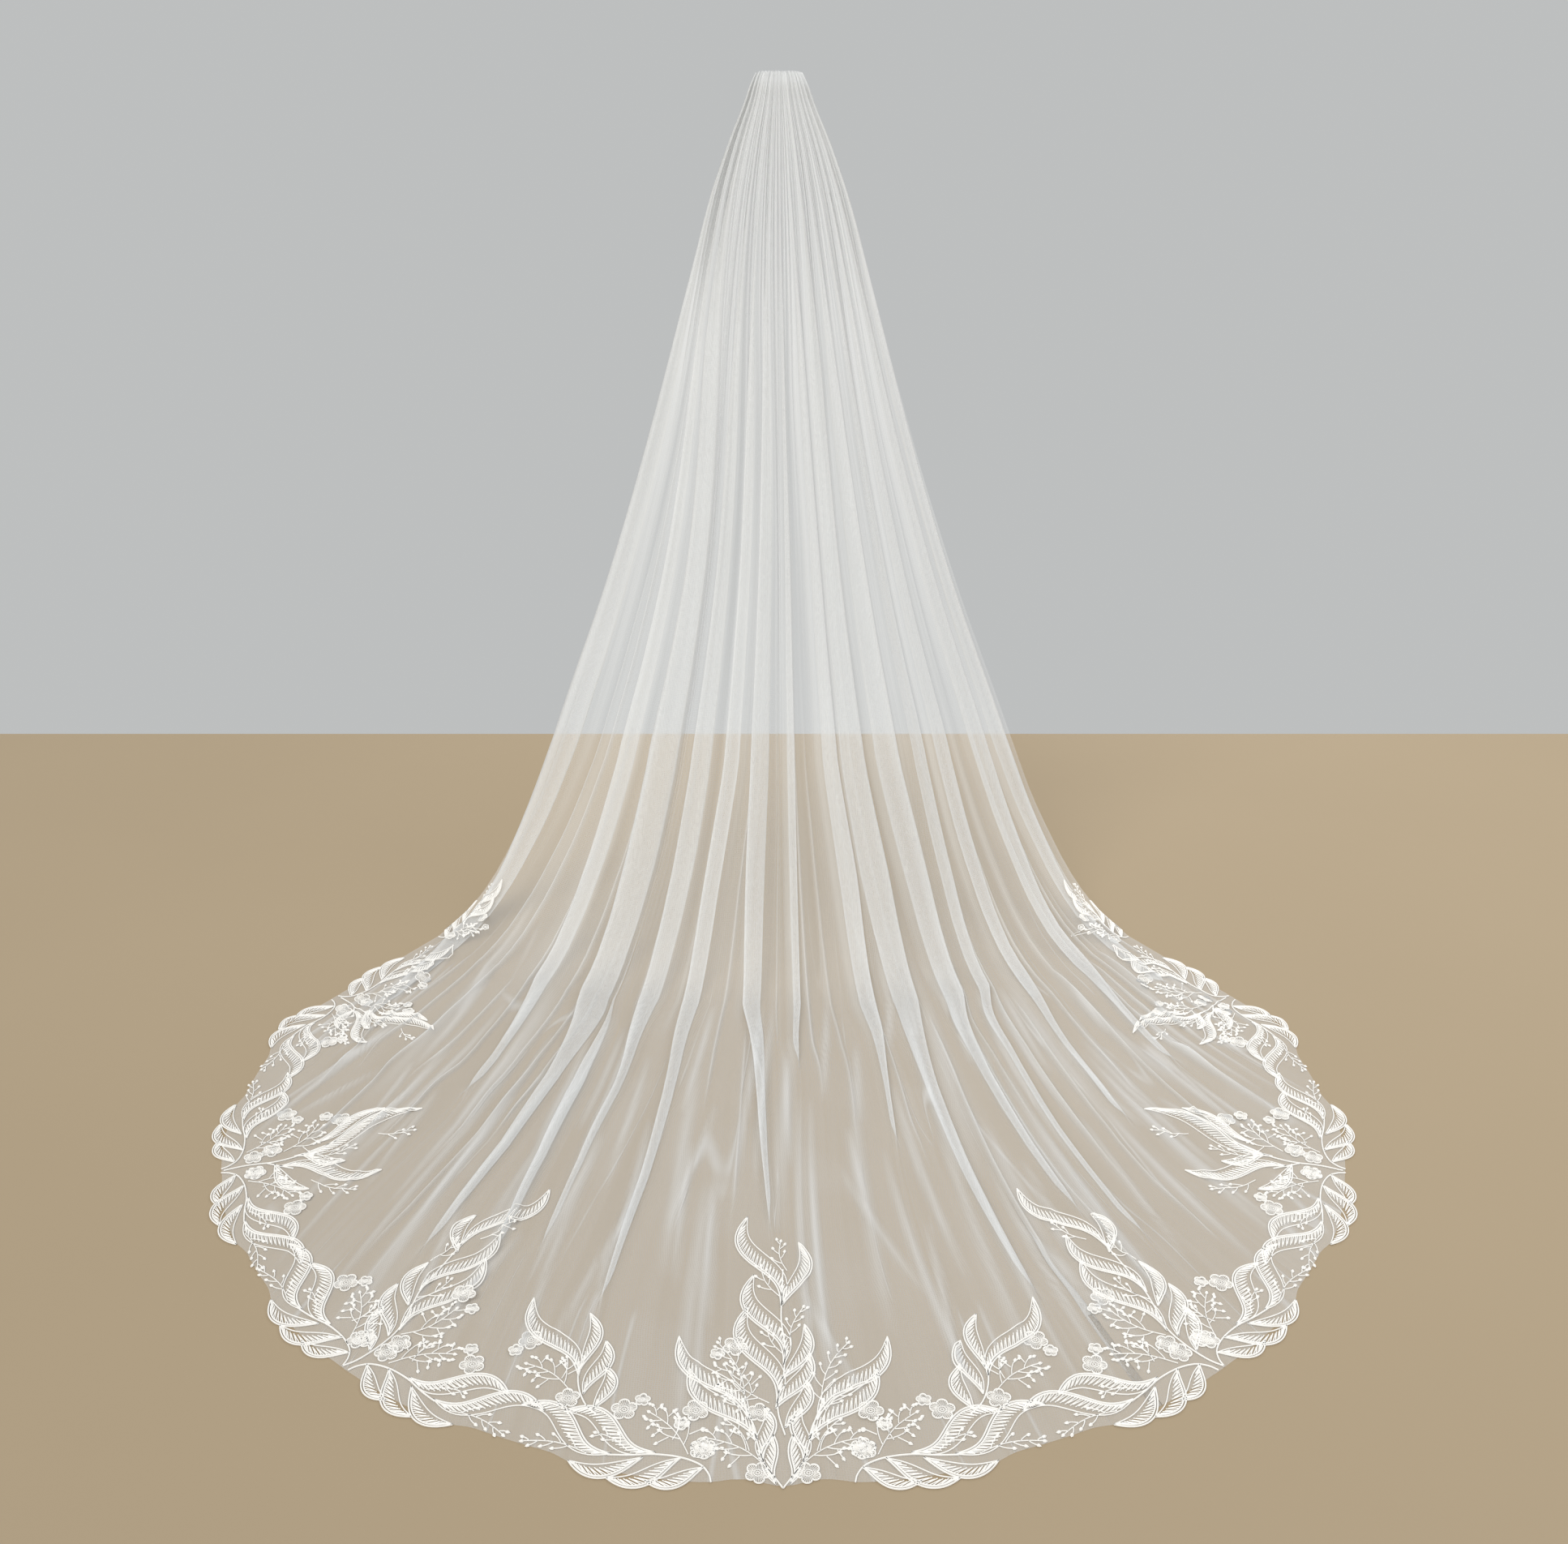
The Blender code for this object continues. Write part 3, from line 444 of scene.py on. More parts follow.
# lace: sprays of S-shaped leaves with flowers and berry sprigs between them
lace = {
    "lift": 0.0004,                # bottom of the cords above the tulle
    # cords by kind: width, height and profile
    "cords": {"edge": (0.0023, 0.0014, "flatTop"), "fine": (0.0017, 0.0009, "flatTop"),
              "bar": (0.0016, 0.0007, "ridge"), "twig": (0.0015, 0.0009, "flatTop")},
    # a profile's points, across and up, as shares of the cord's width and height
    "flatTop": ((-0.5, 0.0), (-0.30, 0.85), (0.30, 0.85), (0.5, 0.0)),
    "ridge": ((-0.5, 0.0), (0.0, 1.0), (0.5, 0.0)),
    "edgeGap": 0.0034,             # from the first cord of a leaf's full side to the second
    "leafPoints": 25,
    "leafBelly": 1.12,             # above 1 the leaf is widest beyond its middle
    "leafBlunt": 0.9,              # below 1 its ends are fuller
    "fullShare": 0.55,             # share of its width on the full side
    "barEvery": 0.0037,            # satin bars between the cords
    "barEnds": (0.08, 0.92),
    "barReach": (0.72, 0.60),      # the bars stop short of the fine cord, every other one sooner
    "barSlant": 0.013,
    "sprig": {                     # lengths in metres, turns in radians
        "points": 9,
        "bow": 0.10,               # of the whole sprig, as a share of its length
        "from": 0.016,             # from the foot to the first side twig, and from twig to twig
        "every": 0.0105,
        "short": 0.004,            # the last is this far from the head
        "lean": 0.85,              # a side twig's angle off the sprig, and how it changes on the way up
        "drift": 0.3,
        "least": 0.013,            # its length near the head, and what it gains towards the foot
        "growth": 0.21,
        "sizes": {1: 0.8, 2: 1.25},    # by fullness
        "twigPoints": 5,
        "bend": 0.62,              # where a side twig bends, and how far it curls back
        "curl": 0.25,
        "budTurn": 0.4,            # of the bud on a side twig, and of the one at the head
        "headTurn": 0.3,
        "forksFrom": 0.018,        # a full sprig's twigs fork from this length on
        "forks": ((0.0, 0.75, 0.55), (0.65, -0.8, 0.42)),    # from where, turn, length
    },
    # the bud's outline as shares of its length, then its height and the width of its top
    "bud": ((-0.40, 0.0), (-0.18, 0.34), (0.25, 0.32), (0.65, 0.0), (0.25, -0.32), (-0.18, -0.34)),
    "budLength": 0.0070,
    "budHeight": 0.0016,
    "budTop": 0.55,
    "flower": {                    # a cord is given by width and height, places as shares of the radius
        "petals": 5,
        "notch": 0.68,             # the rim between two petals
        "petalBlunt": 0.7,
        "rim": (0.0020, 0.0014),
        "rimPoints": 61,
        "stitches": 34,
        "stitchFrom": (0.34, 0.44),    # satin stitches start by turns here and there
        "stitchTo": 0.96,          # and end at this share of the rim
        "stitchWidth": 0.062,
        "stitchHeight": 0.00091,
        "rings": ((0.32, 20), (0.12, 12)),    # radius and points
        "ring": (0.0013, 0.0010),
        "spokes": 10,
        "spokeEnds": (0.12, 0.32),
        "spoke": (0.0009, 0.0007),
    },
    "armReach": 0.3,               # a spray that follows the hem reaches this far along it
    "findWithin": 0.08,            # how far off the tulle's surface is looked for
    "upright": 0.05,               # cloth whose normal rises less than this hangs, its outside to the back
    "upWindow": 5,                 # points over which a cord's lean is evened
    "castFrom": 0.06,              # cords are lowered onto the tulle from this far out
    "axisStep": 0.002,             # small step that finds the cloth's directions under buds and flowers
    # Each spray is drawn flat, in millimetres: x along the hem, y in from it.
    # leaf: x, y of its base and its tip, width, side of its full edge (1 is left), bow, twist
    # flower: x, y, radius. sprig: x, y of its foot and its head, fullness. stem: points.
    "sprays": {
        "arm": {
            "leaves": [(13, 22, 82, -8, 21, -1, 0.11, 0.03), (45, 33, 130, -13, 24, -1, 0.12, 0.04),
                       (94, 27, 186, 1, 22, -1, 0.17, 0.02), (80, 37, 226, 74, 29, 1, 0.03, 0.085),
                       (136, 24, 288, 66, 29, 1, 0.03, 0.085)],
            "stems": [[(0, 0), (5, 13), (18, 26), (45, 34), (80, 34), (112, 27), (140, 22)]],
            "flowers": [(18, 52, 16), (143, 97, 17), (122, 118, 10)],
            "sprigs": [(36, 40, 106, 100, 2), (116, 33, 168, 52, 1), (168, 18, 256, 12, 1),
                       (62, 60, 60, 96, 1)],
        },
        "plume": {
            "leaves": [(-6, 42, 47, 112, 21, -1, 0.06, 0.03), (-4, 76, 66, 153, 24, -1, 0.06, 0.05),
                       (-8, 92, 2, 264, 30, 1, 0.02, 0.085), (19, 132, 64, 208, 22, -1, 0.16, 0.02),
                       (28, 160, 24, 314, 28, 1, 0.02, 0.085), (48, 250, 88, 324, 21, -1, 0.16, 0.02),
                       (55, 262, 42, 436, 27, 1, 0.02, 0.08)],
            "stems": [[(2, 2), (-6, 24), (-9, 60), (-5, 95), (12, 130), (28, 165), (42, 212), (55, 262)]],
            "flowers": [(-30, 192, 17), (-57, 182, 10), (-28, 76, 16), (24, 46, 15)],
            "sprigs": [(-16, 88, -42, 168, 2), (20, 148, 12, 206, 1), (64, 212, 72, 272, 1),
                       (42, 290, 26, 345, 1)],
        },
        "fan": {
            "leaves": [(4, 112, 70, 322, 29, -1, 0.02, 0.07), (30, 144, 92, 262, 21, -1, 0.04, 0.05),
                       (-16, 88, -74, 244, 29, 1, 0.02, 0.08), (4, 124, -33, 190, 21, 1, 0.06, 0.04),
                       (-8, 82, -88, 132, 22, 1, 0.14, 0.02)],
            "stems": [[(0, 4), (2, 40), (-2, 80), (2, 114), (12, 145), (24, 180)],
                      [(-2, 70), (-14, 88), (-28, 110)]],
            "flowers": [(82, 190, 16), (98, 166, 11), (30, 78, 16), (-22, 50, 15)],
            "sprigs": [(22, 96, 78, 152, 2), (24, 246, 16, 304, 1), (-66, 136, -110, 200, 1),
                       (-6, 138, 2, 208, 1)],
        },
        "tuft": {
            "leaves": [(2, 4, 12, 80, 21, 1, 0.13, 0.03), (24, 26, 30, 124, 24, 1, 0.06, 0.05),
                       (44, 70, 70, 166, 20, 1, 0.10, 0.03), (42, 54, 158, 172, 28, -1, 0.02, 0.08)],
            "stems": [[(-6, -2), (14, 10), (32, 32), (44, 58), (48, 84)]],
            "flowers": [(41, 14, 16), (130, 98, 17), (142, 74, 10)],
            "sprigs": [(42, 26, 118, 56, 2), (62, 44, 70, 82, 1)],
        },
        "fork": {
            "leaves": [(9, 3, 14, 80, 19, 1, -0.10, 0.03), (26, 36, 27, 126, 20, 1, 0.02, 0.06),
                       (46, 104, 148, 250, 28, -1, 0.02, 0.075),
                       (34, 72, 130, 192, 29, -1, 0.03, 0.06)],
            "stems": [[(0, -3), (10, 12), (24, 34), (34, 66), (42, 100), (52, 128)]],
            "flowers": [(32, 20, 16), (104, 56, 16), (116, 118, 17), (133, 96, 10)],
            "sprigs": [(20, 28, 100, 74, 2), (52, 122, 94, 240, 1), (52, 104, 92, 156, 1),
                       (44, 54, 76, 104, 1)],
        },
        "tall": {
            "leaves": [(4, 96, 34, 176, 22, -1, 0.08, 0.03), (-8, 128, 40, 224, 24, -1, 0.06, 0.04),
                       (0, 178, 34, 278, 21, -1, 0.13, 0.02), (4, 318, 30, 446, 22, -1, 0.11, 0.04),
                       (-6, 136, -44, 316, 29, 1, 0.02, 0.085), (4, 204, -36, 380, 29, 1, 0.02, 0.085),
                       (2, 316, -46, 508, 29, 1, 0.02, 0.08)],
            "stems": [[(4, 84), (-4, 118), (-4, 150), (4, 190), (6, 240), (2, 290), (4, 340), (6, 390)]],
            "flowers": [(-30, 122, 15), (-62, 240, 17), (-86, 226, 10)],
            "sprigs": [(-16, 138, -76, 206, 2), (4, 224, -18, 276, 1), (14, 236, 34, 312, 1),
                       (0, 336, -26, 400, 1), (12, 388, 4, 452, 1)],
        },
    },
    # Where each spray goes: piece, spray, distance along the border from the middle of the hem,
    # inset, direction along it, then its size if not 1 and its lean in degrees if any
    "places": [
        ("centre", "tall", 0.0, 0.0, 1), ("centre", "fork", 0.0, 0.004, 1),
        ("front", "arm", 0.090, 0.006, 1), ("small", "tuft", 0.277, 0.088, 1),
        ("corner", "plume", 0.638, 0.004, 1), ("corner", "arm", 0.630, 0.006, -1),
        ("corner", "arm", 0.642, 0.006, 1), ("side", "fan", 1.166, 0.004, 1),
        ("side", "arm", 1.160, 0.004, -1), ("side", "arm", 1.170, 0.004, 1, 0.95),
        ("upper", "fan", 1.715, 0.012, 1, 0.72, 10.0), ("upper", "arm", 1.700, 0.006, -1, 0.97),
        ("upper", "arm", 1.716, 0.006, 1, 0.92), ("upper", "arm", 1.985, 0.003, 1, 0.66),
    ],
    "bentSprays": ("arm",),        # these follow the hem's curve, the others are sewn on straight
}


def leafPaths(x0, y0, x1, y1, width, side, bow, twist):
    # two cords along the full edge, one along the other, and slanting bars between them
    base, tip = np.array([x0, y0]) / 1000, np.array([x1, y1]) / 1000
    chord = tip - base
    length = np.linalg.norm(chord)
    across = np.array([-chord[1], chord[0]]) / length * side
    u = np.linspace(0.0, 1.0, lace["leafPoints"])
    sway = length * (bow * np.sin(math.pi * u) - twist * np.sin(2 * math.pi * u))
    middle = base + chord * u[:, None] + across * sway[:, None]
    heading = unit(np.gradient(middle, axis=0))
    normal = np.column_stack([-heading[:, 1], heading[:, 0]]) * side
    swell = width / 1000 * np.sin(math.pi * u ** lace["leafBelly"])[:, None] ** lace["leafBlunt"]
    full = middle + normal * swell * lace["fullShare"]
    flat = middle - normal * swell * (1.0 - lace["fullShare"])
    second = full + (flat - full) * np.clip(lace["edgeGap"] / np.maximum(swell, 1e-6), 0.0, 0.5)
    paths = [("edge", full), ("edge", second), ("fine", flat)]
    run = runAlong(middle)
    first, last = lace["barEnds"]
    for count, place in enumerate(np.arange(first * length, last * length, lace["barEvery"])):
        far = min(place + lace["barSlant"], length)
        start = readLine(place, run, second)[0]
        inner, outer = [readLine(far, run, line)[0] for line in (second, flat)]
        paths.append(("bar", np.array([start, inner + (outer - inner) * lace["barReach"][count % 2]])))
    return paths


def towards(angle):
    return np.array([math.cos(angle), math.sin(angle)])


def sprigPaths(x0, y0, x1, y1, fullness):
    # a bowed twig with side twigs left and right, and a bud at the end of each
    sprig = lace["sprig"]
    foot, head = np.array([x0, y0]) / 1000, np.array([x1, y1]) / 1000
    line = head - foot
    length = np.linalg.norm(line)
    across = np.array([-line[1], line[0]]) / length
    u = np.linspace(0.0, 1.0, sprig["points"])
    spine = foot + line * u[:, None] + across * (sprig["bow"] * length * np.sin(math.pi * u))[:, None]
    heading = math.atan2(line[1], line[0])
    paths = [("twig", spine), ("bud", (spine[-1], heading - sprig["headTurn"]))]
    hand = 1
    for at in np.arange(sprig["from"], length - sprig["short"], sprig["every"]):
        share = at / length
        root = readLine(share, u, spine)[0]
        lean = heading + sprig["drift"] * math.cos(math.pi * share) + hand * sprig["lean"]
        size = (sprig["least"] + sprig["growth"] * length * (1.0 - share)) * sprig["sizes"][fullness]
        end = root + size * towards(lean - sprig["curl"] * hand)
        t = np.linspace(0.0, 1.0, sprig["twigPoints"])[:, None]
        bend = root + sprig["bend"] * size * towards(lean)
        paths += [("twig", (1 - t) ** 2 * root + 2 * t * (1 - t) * bend + t * t * end),
                  ("bud", (end, lean - sprig["budTurn"] * hand))]
        if fullness > 1 and size > sprig["forksFrom"]:
            middle = root + 0.5 * size * towards(lean)
            for along, turn, grown in sprig["forks"]:
                start = (1.0 - along) * middle + along * end
                fork = lean + turn * hand
                reach = start + grown * size * towards(fork)
                paths += [("twig", np.array([start, reach])), ("bud", (reach, fork))]
        hand = -hand
    return paths


def sprayPaths(spray):
    paths = []
    for leaf in spray["leaves"]:
        paths += leafPaths(*leaf)
    for stem in spray["stems"]:
        points = np.array(stem) / 1000
        keys = np.arange(len(points))
        at = np.linspace(0, len(points) - 1, 4 * len(points))
        paths.append(("edge", np.array([smoothRead(t, keys, points) for t in at])))
    for x, y, radius in spray["flowers"]:
        # each flower is turned its own way
        paths.append(("flower", (np.array([x, y]) / 1000, radius / 1000, 0.4 + 0.05 * x)))
    for sprig in spray["sprigs"]:
        paths += sprigPaths(*sprig)
    return paths


def laidOut(local, place, hand):
    # flat drawing to the veil, on the right (hand 1) or mirrored to the left
    run, inset, direction, size, lean, bent = place
    x, y = (np.atleast_2d(local) * size).T
    x = x * direction
    if bent:
        points = alongBorder(run + x, y + inset)
    else:
        turn = math.radians(lean)
        x, y = x * math.cos(turn) - y * math.sin(turn), x * math.sin(turn) + y * math.cos(turn) + inset
        k = int(np.argmin(np.abs(borderRun - run)))
        tangent = borderTangent[k]
        points = np.tile(borderPlan[k], (len(x), 1))
        points[:, 0] += tangent[0] * x - tangent[1] * y
        points[:, 1] += tangent[1] * x + tangent[0] * y
    if hand < 0:
        middle = fall["drift"] * (1.0 - (points[:, 2] + fall["combHeight"]) / fall["combHeight"])
        points[:, 0] = 2 * middle - points[:, 0]
    return points


laceJobs = {}
for piece, spray, run, inset, direction, *more in lace["places"]:
    size, lean = more + [1.0, 0.0][len(more):]
    place = (run, inset, direction, size, lean, spray in lace["bentSprays"])
    for hand, side in ((1, "right"), (-1, "left")):
        if spray == "tall" and hand < 0:
            continue
        name = "lace_centre_spray" if piece == "centre" else "lace_%s_%s" % (piece, side)
        laceJobs.setdefault(name, []).append((sprayPaths(lace["sprays"][spray]), place, hand))
print("lace drawn:", len(laceJobs), "motifs")


# the hem is trimmed close to the lace, and left plain between the motifs
hem = {
    "beyond": 2.0,                 # degrees past the side edge to which it is worked out
    "plain": 0.014,                # how far in the plain stretches are cut
    "least": 0.004,                # leaf tips stand out past the cut edge
    "clear": 0.003,                # tulle left outside the lace
    "reads": 520,
    "smoothing": 9,                # reads over which the cut is evened
}


def trimmedHem():
    limit = fall["hemEdge"] + hem["beyond"]
    angles = np.radians(np.linspace(-limit, limit, hem["reads"]))
    insets = np.full(hem["reads"], hem["plain"])
    cords = [(path, place, hand) for jobs in laceJobs.values() for paths, place, hand in jobs
             for kind, path in paths if kind in ("edge", "fine")]
    for path, place, hand in cords:
        points = laidOut(path, place, hand)
        x = (points[:, 0] - fall["drift"]) / fall["hemHalfWidth"]
        y = (points[:, 1] + fall["hemBack"]) / fall["hemHalfLength"]
        inset = (1.0 - np.hypot(x, y)) * fall["hemHalfLength"] - hem["clear"]
        nearest = np.round((np.arctan2(x, -y) - angles[0]) / (angles[1] - angles[0])).astype(int)
        for k in (nearest - 1, nearest, nearest + 1):
            ok = (k >= 0) & (k < hem["reads"])
            np.minimum.at(insets, k[ok], np.maximum(inset[ok], hem["least"]))
    insets = evened(insets[:, None], np.hanning(hem["smoothing"] + 2)[1:-1])[:, 0]
    return lambda angle: np.interp(angle, angles, insets)


hemTrim = trimmedHem()


# the tulle
tulle = {
    "flat": (2.40, 3.00),          # widest and longest of the cut
    "flatArea": 5.9,
    "gatheredEdge": 1.60,          # cut width at the comb
    "knee": 0.78,                  # station where a fold's width is given: 0 comb, 1 floor, 2 hem
    "settled": 0.60,               # by here the folds hang in their own places
    "stations": (0.78, 0.90, 1.00, 1.10, 1.25, 1.45, 1.70),
    "fade": 0.10,                  # a fold dies out over this
    "turnOver": 0.45,              # and is laid over from a standing gather over this
    "stripGap": 0.0065,            # between the strips of two folds
    "crestShare": 0.38,            # a hanging fold's depth as a share of its width, and its limits
    "crestLeast": 0.0085,
    "crestMost": 0.022,
    "crestOnFloor": 0.0095,        # a fold's depth on the floor
    "steepest": 0.8,               # a narrow fold's greatest depth, as a share of its width
    "settleFrom": 0.86,            # station where it starts to settle to that
    "nose": 0.30,                  # height of the turned edge, as a share of the depth
    "climb": (0.3, 0.72),          # points of a lying fold's slope, as shares of foot or width and depth
    "crest": (0.2, 0.95),
    "edges": (0.0, 0.0, 0.0, 0.0, 1.0, 0.0, 0.0, 0.8, 0.0),    # which of its nine points are edges
    "footShare": 0.35,             # length of its slope from the cloth beside it
    "footMore": 0.005,
    "footClear": 0.0025,
    # a standing gather: across and up, as shares of half its width and its height
    "gatherShape": ((-1.0, 0.0), (-0.75, 0.35), (-0.50, 0.85), (-0.25, 1.0), (0.0, 1.05), (0.25, 1.0),
                    (0.50, 0.85), (0.75, 0.35), (1.0, 0.0)),
    "gatherAtComb": 0.0020,        # the standing gathers' height, how it grows, and its limit
    "gatherGrowth": 0.040,
    "gatherHeight": 0.011,
    "gatherSpan": 0.25,            # half width as a share of the spacing, standing and turned over
    "flatSpan": 0.10,
    "near": 0.0030,                # how far a fold's edge turns in, and at most as a share of its width
    "nearShare": 0.3,
    "edgeShine": 2.2,              # a fold's two edges hide this many layers more
    "narrowFrom": 0.84,            # stations where a fold narrows to its width on the train
    "narrowTo": 1.34,
    # Near the floor the cloth is drawn out sideways as it lands: how much, as a share of the
    # place, at each side, and how that rises and falls along the veil.
    "drawnLeft": 0.155,
    "drawnRight": 0.062,
    "drawnOver": 0.35,             # the two sides blend over this place
    "drawnAt": (0.70, 0.80, 0.90, 0.98, 1.02, 1.10, 1.20, 1.30, 1.50),
    "drawnShare": (0.0, 0.15, 0.54, 1.0, 0.95, 0.72, 0.45, 0.23, 0.0),
    "tailWidth": 0.0060,           # a fold ends as a pinch this wide
    # Laid folds, left to right. Places run from -1 at the left edge to 1 at the right and are
    # given at the stations above. Then the width of the strip that lies three deep, hanging and
    # on the train, the station where it has been laid over, the station where it has died out,
    # and the side it is laid to.
    "folds": [
        ((-0.89, -0.90, -0.90, -0.89, -0.88, -0.86, -0.80), 0.064, 0.034, 0.45, 1.55, -1),
        ((-0.58, -0.57, -0.55, -0.54, -0.53, -0.52, -0.52), 0.036, 0.012, 0.45, 1.45, -1),
        ((-0.43, -0.42, -0.41, -0.40, -0.40, -0.40, -0.40), 0.080, 0.022, 0.45, 1.80, -1),
        ((-0.36, -0.36, -0.36, -0.35, -0.35, -0.34, -0.32), 0.016, 0.020, 1.32, 1.76, -1),
        ((-0.29, -0.29, -0.29, -0.29, -0.28, -0.28, -0.27), 0.038, 0.012, 0.45, 1.72, -1),
        ((-0.18, -0.20, -0.20, -0.20, -0.19, -0.18, -0.18), 0.030, 0.018, 0.45, 1.80, -1),
        ((-0.08, -0.08, -0.07, -0.05, -0.03, -0.01, 0.01), 0.036, 0.015, 0.45, 1.62, -1),
        ((0.03, 0.03, 0.03, 0.03, 0.04, 0.04, 0.04), 0.016, 0.007, 0.45, 1.22, 1),
        ((0.17, 0.19, 0.19, 0.20, 0.20, 0.19, 0.18), 0.036, 0.008, 0.45, 1.46, 1),
        ((0.25, 0.27, 0.28, 0.28, 0.28, 0.28, 0.28), 0.054, 0.021, 0.45, 1.82, 1),
        ((0.38, 0.40, 0.40, 0.39, 0.39, 0.39, 0.39), 0.046, 0.015, 0.45, 1.70, 1),
        ((0.51, 0.50, 0.48, 0.46, 0.46, 0.45, 0.44), 0.026, 0.010, 0.45, 1.80, 1),
        ((0.61, 0.60, 0.59, 0.59, 0.58, 0.57, 0.55), 0.030, 0.010, 0.45, 1.60, 1),
        ((0.78, 0.78, 0.77, 0.77, 0.76, 0.74, 0.72), 0.038, 0.016, 0.45, 1.58, 1),
        ((0.90, 0.91, 0.91, 0.91, 0.91, 0.91, 0.90), 0.034, 0.016, 0.45, 1.40, 1),
    ],
    # Sharp creases between the folds. The gap they lie in (0 is left of the first fold), their
    # place across it at the top and at the end, the stations where they start and end, height,
    # width, and how many layers more their ridge hides.
    "creases": [
        (0, 0.50, 0.40, 0.30, 1.30, 0.006, 0.011, 1.4), (1, 0.12, 0.08, 0.95, 1.72, 0.006, 0.012, 1.6),
        (1, 0.30, 0.24, 0.50, 1.58, 0.007, 0.010, 1.8), (1, 0.52, 0.44, 0.30, 1.84, 0.008, 0.011, 2.0),
        (1, 0.70, 0.64, 0.98, 1.50, 0.006, 0.010, 1.5), (1, 0.86, 0.82, 0.35, 1.66, 0.008, 0.010, 1.9),
        (2, 0.28, 0.22, 0.50, 1.62, 0.007, 0.010, 1.8), (2, 0.55, 0.48, 0.99, 1.86, 0.007, 0.011, 1.8),
        (2, 0.80, 0.70, 0.90, 1.55, 0.006, 0.010, 1.4), (3, 0.50, 0.45, 0.55, 1.38, 0.006, 0.009, 1.5),
        (4, 0.50, 0.50, 0.30, 1.10, 0.005, 0.008, 1.4), (5, 0.50, 0.50, 0.35, 1.05, 0.005, 0.008, 1.4),
        (6, 0.35, 0.30, 0.45, 1.34, 0.006, 0.009, 1.6), (6, 0.75, 0.70, 1.04, 1.60, 0.005, 0.010, 1.3),
        (7, 0.40, 0.35, 0.20, 1.16, 0.005, 0.008, 1.6), (8, 0.22, 0.25, 0.40, 1.30, 0.007, 0.009, 1.8),
        (8, 0.65, 0.62, 0.70, 1.44, 0.005, 0.010, 1.4), (9, 0.45, 0.50, 0.50, 1.50, 0.006, 0.009, 1.6),
        (10, 0.40, 0.35, 0.45, 1.12, 0.005, 0.008, 1.5), (10, 0.72, 0.30, 1.04, 1.84, 0.008, 0.011, 2.0),
        (11, 0.35, 0.18, 0.96, 1.92, 0.008, 0.011, 2.0), (11, 0.72, 0.66, 0.40, 1.50, 0.006, 0.010, 1.5),
        (12, 0.40, 0.36, 0.45, 1.70, 0.007, 0.010, 1.8), (12, 0.74, 0.72, 1.02, 1.88, 0.006, 0.010, 1.5),
        (13, 0.30, 0.36, 0.70, 1.54, 0.006, 0.010, 1.6), (13, 0.68, 0.72, 0.92, 1.80, 0.007, 0.011, 1.8),
        (14, 0.16, 0.20, 0.55, 1.72, 0.007, 0.010, 1.8), (14, 0.38, 0.40, 0.96, 1.50, 0.006, 0.010, 1.4),
        (14, 0.60, 0.60, 0.35, 1.62, 0.007, 0.010, 1.8), (14, 0.84, 0.78, 0.90, 1.36, 0.006, 0.010, 1.4),
        (15, 0.50, 0.55, 0.30, 1.25, 0.006, 0.010, 1.5),
    ],
    "creaseFade": 0.16,
    "creaseRoom": 0.06,            # half a crease takes no more of its gap than this
    "creaseSteep": 1.5,            # nor stands higher than this times half its width
    # across and up, as shares of half its width and its height
    "creaseShape": ((-1.0, 0.0), (-0.4, 0.5), (0.0, 1.0), (0.4, 0.5), (1.0, 0.0)),
    # Soft ripples of the cloth on the floor: place and station at each end, width, height.
    "ripples": [
        (-0.93, 1.05, -0.86, 1.85, 0.014, 0.005), (-0.80, 1.30, -0.74, 1.95, 0.009, 0.005),
        (-0.72, 0.95, -0.66, 1.60, 0.016, 0.007), (-0.64, 1.25, -0.58, 1.92, 0.007, 0.004),
        (-0.52, 0.92, -0.48, 1.50, 0.014, 0.006), (-0.45, 1.35, -0.42, 1.95, 0.007, 0.004),
        (-0.35, 1.25, -0.32, 1.90, 0.011, 0.006), (-0.27, 1.40, -0.24, 1.98, 0.006, 0.004),
        (-0.15, 1.20, -0.12, 1.70, 0.009, 0.004), (-0.08, 1.50, -0.07, 1.96, 0.006, 0.004),
        (0.02, 1.10, 0.01, 1.60, 0.011, 0.005), (0.06, 1.45, 0.05, 1.97, 0.006, 0.004),
        (0.14, 1.22, 0.12, 1.80, 0.009, 0.004), (0.27, 1.35, 0.24, 1.94, 0.007, 0.005),
        (0.33, 0.98, 0.30, 1.55, 0.014, 0.005), (0.43, 1.28, 0.40, 1.90, 0.009, 0.006),
        (0.55, 0.96, 0.54, 1.58, 0.014, 0.006), (0.60, 1.40, 0.57, 1.95, 0.007, 0.004),
        (0.68, 1.00, 0.70, 1.66, 0.014, 0.007), (0.78, 1.32, 0.76, 1.93, 0.008, 0.005),
        (0.86, 0.98, 0.84, 1.62, 0.012, 0.006), (0.95, 1.15, 0.92, 1.80, 0.011, 0.005),
        # short slanting ones near the hem
        (-0.90, 1.62, -0.83, 1.84, 0.006, 0.004), (-0.70, 1.50, -0.73, 1.78, 0.006, 0.004),
        (-0.57, 1.44, -0.53, 1.72, 0.006, 0.005), (-0.40, 1.62, -0.36, 1.93, 0.006, 0.005),
        (-0.30, 1.66, -0.34, 1.90, 0.006, 0.004), (-0.18, 1.55, -0.22, 1.86, 0.006, 0.004),
        (-0.10, 1.30, -0.13, 1.62, 0.006, 0.004), (0.03, 1.70, 0.09, 1.92, 0.006, 0.005),
        (0.10, 1.46, 0.17, 1.74, 0.006, 0.004), (0.20, 1.60, 0.17, 1.90, 0.006, 0.005),
        (0.31, 1.64, 0.35, 1.92, 0.006, 0.004), (0.37, 1.52, 0.34, 1.78, 0.006, 0.004),
